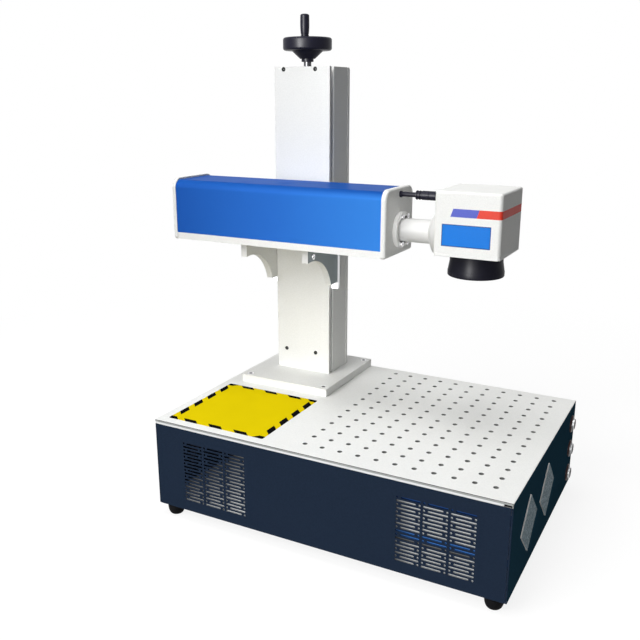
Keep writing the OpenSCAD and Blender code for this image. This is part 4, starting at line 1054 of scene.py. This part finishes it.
class BuildHandwheel(Operator):
    """Handwheel with its cone, rim and dish, and the grip on its pin"""

    bl_idname = "marker.handwheel"
    bl_label = "Handwheel"

    def execute(self, context):
        low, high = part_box("handwheel")
        grip_low, grip_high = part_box("wheel_grip")
        axis = sum(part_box("lead_screw"), Vector()) / 2
        grip = (grip_low + grip_high) / 2
        cone, rim = mm(11.2, 17.9)
        under = low.z + cone
        outline = self.wheel((high.x - low.x) / 2, low.z, under, under + rim)
        wheel = put(turned("wheel", outline), (axis.x, axis.y, 0))
        stem = put(turned("grip_pin", self.pin(under + rim, high.z), 48), (grip.x, grip.y, 0))
        done(joined("handwheel_piece", [wheel, stem]), "Black plastic", "handwheel")
        handle = put(turned("grip_piece", self.grip(grip_low.z, grip_high.z)), (grip.x, grip.y, 0))
        done(handle, "Black plastic", "wheel_grip")
        return {"FINISHED"}

    def wheel(self, radius, foot, under, face):
        """Outline of the wheel: hub, cone, rounded rim, and a dish with a boss on its face."""
        hub, cone_foot, cone_top, dish, floor, boss, cup, edge = mm(8.8, 11.7, 22.6, 24, 18, 10, 4, 3.4)
        outline = rings_at(hub, foot, (-3.2, 0), (-3.2, -4.2), (-0.4, -4.2), (0, -3.8), (0, 0))
        outline += rings_at(cone_foot, foot, (-0.7, 0), (0, 0.6))
        outline += rings_at(cone_top, under, (-0.7, -1.2), (0, 0))
        outline += [(radius - edge, under)] + arc(radius - edge, under + edge, edge, -75, 0)
        outline += arc(radius - edge, face - edge, edge, 0, 90)
        outline += rings_at(dish, face, (0, 0), (-0.8, -0.4)) + rings_at(floor, face, (1, -4.4), (0, -5))
        outline += rings_at(boss, face, (0, -5), (-0.6, -4.6), (-0.8, -2.4), (-1.4, -2))
        return outline + rings_at(cup, face, (0, -2), (-0.2, -3.5)) + rings_at(POLE, face, (0, -3.5))

    def pin(self, face, top):
        """Outline of the grip's pin with its head."""
        shaft, head = mm(2.5, 4)
        outline = rings_at(POLE, face, (0, -5)) + rings_at(shaft, face, (0, -5))
        outline += rings_at(shaft, top, (0, -1.6)) + rings_at(head, top, (0, -1.6), (0, -0.5), (-0.6, 0))
        return outline + [(POLE, top)]

    def grip(self, base, top):
        """Outline of the grip: a grooved foot, a swelling body and a rounded end over the pin's head."""
        wide, root, bore, corner, ring, deep = mm(6.5, 5.7, 2.56, 2.2, 1.4, 0.5)
        swell = ((0.20, 0.45), (0.35, 0.85), (0.50, 1.0), (0.65, 0.98), (0.80, 0.9))
        outline = [(bore, base)] + rings_at(root, base, (-0.4, 0), (0, 0.4))
        outline += groove(root, base + ring, ring, deep)
        outline += [(root + (wide - root) * bulge, base + (top - base) * share) for share, bulge in swell]
        outline += arc(wide - 2.4 * MILLIMETRE, top - corner, corner, 0, 80)
        outline += rings_at(0, top, (4.7, -0.1), (4.6, -1.6)) + rings_at(bore, top, (0, -2))
        return outline + [(bore, base)]


class BuildBrackets(Operator):
    """The two brackets under the arm and their screws"""

    bl_idname = "marker.brackets"
    bl_label = "Brackets"

    def execute(self, context):
        sizes = context.scene.marker_sizes
        dress("left_bracket", sizes.cast_edge, 3, 40)
        right = dress("right_bracket", sizes.cast_edge, 3, 40)
        # The right bracket's right side takes a grey: painted shade under the arm.
        wear_on(right, "Bracket side, painted shade", lambda face: face.normal.x > 0.9)
        dress("bracket_screws", sizes.sheet_edge, 3)
        return {"FINISHED"}


class BuildArm(Operator):
    """Floor rail, blue cover and end caps of the arm"""

    bl_idname = "marker.arm"
    bl_label = "Arm"

    def execute(self, context):
        sizes = context.scene.marker_sizes
        dress("arm_floor", sizes.sheet_edge)
        self.cover(sizes)
        low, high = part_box("arm_left_cap")
        self.cap("arm_left_cap", sizes, outer=low.x, inner=high.x)
        low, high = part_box("arm_right_cap")
        self.cap("arm_right_cap", sizes, outer=high.x, inner=low.x)
        return {"FINISHED"}

    def cover(self, sizes):
        """A sheet with two rounded long corners, open at its ends and its foot."""
        low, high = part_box("arm_cover")
        cover = block("arm_cover_piece", low, high)
        round_edges(cover, lambda a, b: same(a, b, "yz") and same(a, high, "z"), sizes.cover_corner, 14)
        open_faces(cover, lambda middle, normal: abs(normal.x) > 0.9 or normal.z < -0.9)
        modified(cover, "SOLIDIFY", thickness=sizes.cover_sheet, offset=-1)
        done(cover, "Blue coat", "arm_cover", flat=True)

    def cap(self, node, sizes, outer, inner):
        """A cap with rounded corners, a soft outer edge and a fine inner one."""
        low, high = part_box(node)
        cap = block(node + "_piece", low, high)
        round_edges(cap, lambda a, b: same(a, b, "yz") and same(a, high, "z"), sizes.cap_corner, 14)
        round_edges(cap, lambda a, b: same(a, b, "yz") and same(a, low, "z"), sizes.cap_foot_corner, 8)
        for x, edge, segments in ((outer, sizes.cap_edge, 7), (inner, sizes.sheet_edge, 3)):
            round_edges(cap, lambda a, b: max(abs(a.x - x), abs(b.x - x)) < NEAR, edge, segments)
        done(cap, "White coat", node, flat=True)


class BuildBeamTube(Operator):
    """Beam tube between the arm and the head, and the cable beside it"""

    bl_idname = "marker.beam_tube"
    bl_label = "Beam tube and cable"

    def execute(self, context):
        self.tube()
        self.turned_along_x("gland_piece", "cable_gland", self.gland, sides=48)
        self.turned_along_x("connector_piece", "cable_connector", self.connector, sides=64)
        return {"FINISHED"}

    def turned_along_x(self, name, node, outline, sides=None):
        """A turned piece that stands in for a node along X. outline gets the node's length."""
        low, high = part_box(node)
        centre = (low + high) / 2
        piece = put(turned(name, outline(high.x - low.x), sides), (low.x, centre.y, centre.z), "X")
        return done(piece, finish_of(node), node)

    def tube(self):
        """The tube. The groove round its root is dark steel: painted shade at the root."""
        low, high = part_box("beam_tube")
        centre = (low + high) / 2
        radius, past_groove, flange_face = mm(15.75, 2.8, 5.9)

        def outline(reach):
            bore, flange, collar, thick, edge = mm(11, 24.5, 28, 6, 1.2)
            rings = [(bore, 0)] + rings_at(flange, 0, (-0.5, 0), (0, 0.5))
            rings += arc(flange - edge, thick - edge, edge, 0, 90, 4)
            rings += rings_at(radius, 0, (3, 6), (2.7, 5.7), (2.7, 3), (0, 3))
            rings += rings_at(radius, reach, (0, -17.8), (0.4, -17.5))
            rings += rings_at(collar, reach, (-1.2, -11.4), (-0.3, -10.8), (0, -10))
            rings += groove(collar, reach - 4 * MILLIMETRE, *mm(1.8, 0.7))
            return rings + rings_at(collar, reach, (0, -0.4), (-0.4, 0)) + [(bore, reach), (bore, 0)]

        def in_groove(face):
            from_axis = math.hypot(face.center.y - centre.y, face.center.z - centre.z)
            return radius * 0.95 < from_axis < radius + past_groove and face.center.x < low.x + flange_face

        # Dark steel in the groove: painted shade where the tube meets its flange.
        wear_on(self.turned_along_x("beam_tube_piece", "beam_tube", outline), "Dark steel and painted shade", in_groove)

    def gland(self, reach):
        """Outline of the cable's gland: a grooved foot and a taper."""
        hole, root, nose = mm(3.35, 4.3, 4)
        outline = [(hole, 0)] + rings_at(root, 0, (0, 0), (0, 1), (-0.3, 1.3), (-0.3, 1.7), (-0.1, 2))
        return outline + rings_at(nose, reach, (0, -0.3), (-0.3, 0)) + [(hole, reach), (hole, 0)]

    def connector(self, reach):
        """Outline of the connector: two ribs on its neck and a grooved shell."""
        wide, neck = mm(6, 4.8)
        outline = [(POLE, 0)] + rings_at(neck, 0, (-0.4, 0), (0, 0.3))
        for start in mm(0.4, 4.4):
            outline += [(neck, start)] + rings_at(wide, start, (-0.3, 0), (0, 0.3), (0, 1.7), (-0.3, 2))
            outline += rings_at(neck, start, (0, 2))
        outline += rings_at(neck, 0, (0, 8.2)) + rings_at(wide, 0, (-0.5, 8.2), (0, 8.7))
        return outline + groove(wide, *mm(18, 1.4, 0.4)) + [(wide, reach), (POLE, reach)]


class BuildHead(Operator):
    """Scanning head: base plate, printed cover and its side screw"""

    bl_idname = "marker.head"
    bl_label = "Scanning head"

    def execute(self, context):
        sizes = context.scene.marker_sizes
        fine = 0.4 * MILLIMETRE
        base = block("head_base_piece", *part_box("head_base"))
        round_edges(base, lambda a, b: same(a, b, "xy"), sizes.head_corner, 10)
        bevelled(base, sizes.sheet_edge, 3, 60)
        done(base, "White coat", "head_base", flat=True)
        low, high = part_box("head_cover")
        cover = block("head_cover_piece", low, high)
        round_edges(cover, lambda a, b: same(a, b, "xy"), sizes.head_corner, 10)
        round_edges(cover, lambda a, b: same(a, high, "z") and same(b, high, "z"), sizes.head_edge, 8)
        round_edges(cover, lambda a, b: same(a, low, "z") and same(b, low, "z"), fine, 2)
        open_faces(cover, lambda middle, normal: normal.z < -0.99)
        modified(cover, "SOLIDIFY", thickness=sizes.head_wall, offset=-1)
        done(cover, "Printed head", "head_cover", flat=True)
        self.side_screw(low, high)
        return {"FINISHED"}

    def side_screw(self, low, high):
        """A small sunk screw in the head's right side."""
        from_front, above_base, shank, head, socket = mm(22.9, 74.1, 1.3, 1.9, 1)
        outline = rings_at(shank, 0, (0, -1.4), (0, -0.6))
        outline += rings_at(head, 0, (0, -0.4), (0, -0.05), (-0.2, -0.02))
        outline += rings_at(socket, 0, (0, -0.02), (-0.1, -0.7)) + rings_at(POLE, 0, (0, -0.7))
        at = (high.x, low.y + from_front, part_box("head_base")[0].z + above_base)
        screw = put(turned("head_side_screw", outline, 32), at, "X")
        done(screw, "Steel", body="carriage")


class BuildLens(Operator):
    """Lens barrel with its grooves and the glass in its mouth"""

    bl_idname = "marker.lens"
    bl_label = "Lens"

    def execute(self, context):
        low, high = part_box("lens_barrel")
        centre = (low + high) / 2
        outline = self.barrel((high.x - low.x) / 2, low.z)
        barrel = put(turned("lens_barrel_piece", outline, 128), (centre.x, centre.y, 0))
        done(barrel, "Black metal", "lens_barrel")
        self.glass()
        return {"FINISHED"}

    def barrel(self, wide, foot):
        """Outline of the barrel: thread in the head, grooved neck, flare, and a stepped mouth."""
        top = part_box("head_base")[0].z
        bore, thread, neck, mouth, corner = mm(19, 23, 34.5, 29, 1.6)
        start = rings_at(bore, top, (0, 4))
        outline = start + rings_at(thread, top, (0, 4), (0, 0)) + rings_at(neck, top, (-0.5, 0), (0, -0.5))
        outline += groove(neck, top - 3 * MILLIMETRE, *mm(-1.4, 0.5)) + rings_at(neck, top, (0, -12))
        outline += rings_at(wide, top, (-0.35, -23), (0, -24)) + rings_at(wide, foot, (0, 2))
        outline += arc(wide - corner, foot + corner, corner, 0, -90, 4)
        outline += rings_at(mouth, foot, (1.5, 0), (1, 0.4), (0, 1.4), (0, 2.2), (-1.8, 2.8), (-1.8, 3.8))
        outline += rings_at(mouth, foot, (-3.4, 4.4), (-3.4, 5.8), (-4, 6), (-4, 11), (-10, 11))
        return outline + start

    def glass(self):
        """The glass, with a domed lower face."""
        low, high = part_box("lens_glass")
        centre = (low + high) / 2
        radius, rise = (high.x - low.x) / 2, 2 * MILLIMETRE
        outline = [(POLE, high.z), (radius - POLE, high.z), (radius, high.z - POLE)]
        for degrees in range(0, 90, 10):
            angle = math.radians(degrees)
            outline.append((radius * math.cos(angle), low.z + rise * (1 - math.sin(angle))))
        outline.append((POLE, low.z))
        glass = put(turned("lens_glass_piece", outline), (centre.x, centre.y, 0))
        done(glass, "Coated glass", "lens_glass", smooth=60)


class BuildStage(Operator):
    """Camera, lamps, world and floor"""

    bl_idname = "marker.stage"
    bl_label = "Stage"

    CAMERA_PLACE = (0.45932, -0.95824, 0.57612)
    CAMERA_AZIMUTH = 28.146
    CAMERA_ELEVATION = 15.924
    CAMERA_LENS = 44.344
    LAMP_DISTANCE = 5.0
    LAMP_AIM = (0, 0, 0.3)
    WORLD_LIGHT = 0.07
    FLOOR_SIZE = 12
    FLOOR_SHADE = 0.18
    FLOOR_WHITE = 0.85
    FLOOR_FADE = (0.45, 1.3)

    def execute(self, context):
        self.camera(context.scene)
        self.lamp("Key", -25, 37, 3.0, 3.0, 0.80)
        self.lamp("Front", 11, 10, 2.4, 2.4, 0.42)
        self.lamp("Top", -40, 82, 3.0, 3.0, 0.52)
        glints = self.lamp("Glints", -9, 9, 0.9, 1.6, 3.3)
        glints.visible_diffuse = False
        self.world(context.scene)
        self.floor()
        context.scene.view_settings.view_transform = "Standard"
        return {"FINISHED"}

    def camera(self, scene):
        data = bpy.data.cameras.new("Camera")
        data.sensor_width = 36.0
        data.lens = self.CAMERA_LENS
        data.clip_start, data.clip_end = 0.01, 100.0
        camera = bpy.data.objects.new("Camera", data)
        scene.collection.objects.link(camera)
        camera.location = self.CAMERA_PLACE
        tilt = math.radians(90 - self.CAMERA_ELEVATION)
        camera.rotation_euler = (tilt, 0, math.radians(self.CAMERA_AZIMUTH))
        scene.camera = camera

    def lamp(self, name, azimuth, elevation, wide, tall, level):
        """A lamp, placed by its angles in degrees from the front and the floor.

        At level 1 a surface that faces the lamp shows its colour as written."""
        data = bpy.data.lights.new(name, "AREA")
        data.shape = "RECTANGLE"
        data.size, data.size_y = wide, tall
        data.energy = level * (math.pi * self.LAMP_DISTANCE) ** 2
        lamp = bpy.data.objects.new(name, data)
        bpy.context.scene.collection.objects.link(lamp)
        turn, rise = math.radians(azimuth), math.radians(elevation)
        level_part = math.cos(rise)
        towards = Vector((math.sin(turn) * level_part, -math.cos(turn) * level_part, math.sin(rise)))
        lamp.location = Vector(self.LAMP_AIM) + towards * self.LAMP_DISTANCE
        lamp.rotation_euler = towards.to_track_quat("Z", "Y").to_euler()
        return lamp

    def seen(self, wiring):
        """1 for rays from the camera, and from metal and glass that reflect or pass the studio."""
        rays = wiring.node("ShaderNodeLightPath").outputs
        shown = Field(rays["Is Camera Ray"]).most(Field(rays["Is Glossy Ray"]))
        return shown.most(Field(rays["Is Transmission Ray"]))

    def world(self, scene):
        world = bpy.data.worlds.new("Studio")
        world.use_nodes = True
        scene.world = world
        background = world.node_tree.nodes["Background"].inputs
        level = self.seen(Wiring(world.node_tree)).ramp(0.0, 1.0, self.WORLD_LIGHT, 1.0)
        fill(background, {"Color": (1.0, 1.0, 1.0, 1.0), "Strength": level})

    def floor(self):
        """A floor that holds the shadow near the machine and fades to white away from it."""
        deselect()
        bpy.ops.mesh.primitive_plane_add(size=self.FLOOR_SIZE, location=(0, 0, 0))
        floor = bpy.context.object
        floor.name = "floor"
        material, wiring, shader = new_material("Studio floor")
        black, white, shade = (0.0,) * 3, (1.0,) * 3, (self.FLOOR_SHADE,) * 3
        x, y, _ = wiring.axes()
        fade = (x ** 2.0 + y ** 2.0).apply("SQRT").ramp(*self.FLOOR_FADE)
        lit = self.seen(wiring) * fade.ramp(0.0, 1.0, self.FLOOR_WHITE, 1.0)
        fill(shader, {
            "Base Color": wiring.blend(fade, shade, black),
            "Roughness": 0.9,
            "Specular IOR Level": 0.0,
            "Emission Color": wiring.blend(lit, black, white),
            "Emission Strength": 1.0,
        })
        floor.data.materials.append(material)


OPERATORS = (
    FinishMachine,
    BuildHousing,
    BuildButtons,
    BuildColumn,
    BuildHandwheel,
    BuildBrackets,
    BuildArm,
    BuildBeamTube,
    BuildHead,
    BuildLens,
    BuildStage,
)


class MarkerPanel(Panel):
    """Sizes, colours and build steps of the machine"""

    bl_idname = "VIEW3D_PT_marker"
    bl_label = "Laser marking machine"
    bl_space_type = "VIEW_3D"
    bl_region_type = "UI"
    bl_category = "Marker"

    def draw(self, context):
        for operator in OPERATORS:
            self.layout.operator(operator.bl_idname)
        for group in (context.scene.marker_sizes, context.scene.marker_colours):
            box = self.layout.box()
            for name in group.__annotations__:
                box.prop(group, name)


CLASSES = (MarkerSizes, MarkerColours, *OPERATORS, MarkerPanel)


def register():
    for item in CLASSES:
        bpy.utils.register_class(item)
    bpy.types.Scene.marker_sizes = PointerProperty(type=MarkerSizes)
    bpy.types.Scene.marker_colours = PointerProperty(type=MarkerColours)


def unregister():
    del bpy.types.Scene.marker_colours
    del bpy.types.Scene.marker_sizes
    for item in reversed(CLASSES):
        bpy.utils.unregister_class(item)


def main():
    register()
    bpy.ops.marker.finishes()
    bpy.ops.marker.housing()
    bpy.ops.marker.buttons()
    bpy.ops.marker.column()
    bpy.ops.marker.handwheel()
    bpy.ops.marker.brackets()
    bpy.ops.marker.arm()
    bpy.ops.marker.beam_tube()
    bpy.ops.marker.head()
    bpy.ops.marker.lens()
    bpy.ops.marker.stage()


if __name__ == "__main__":
    main()
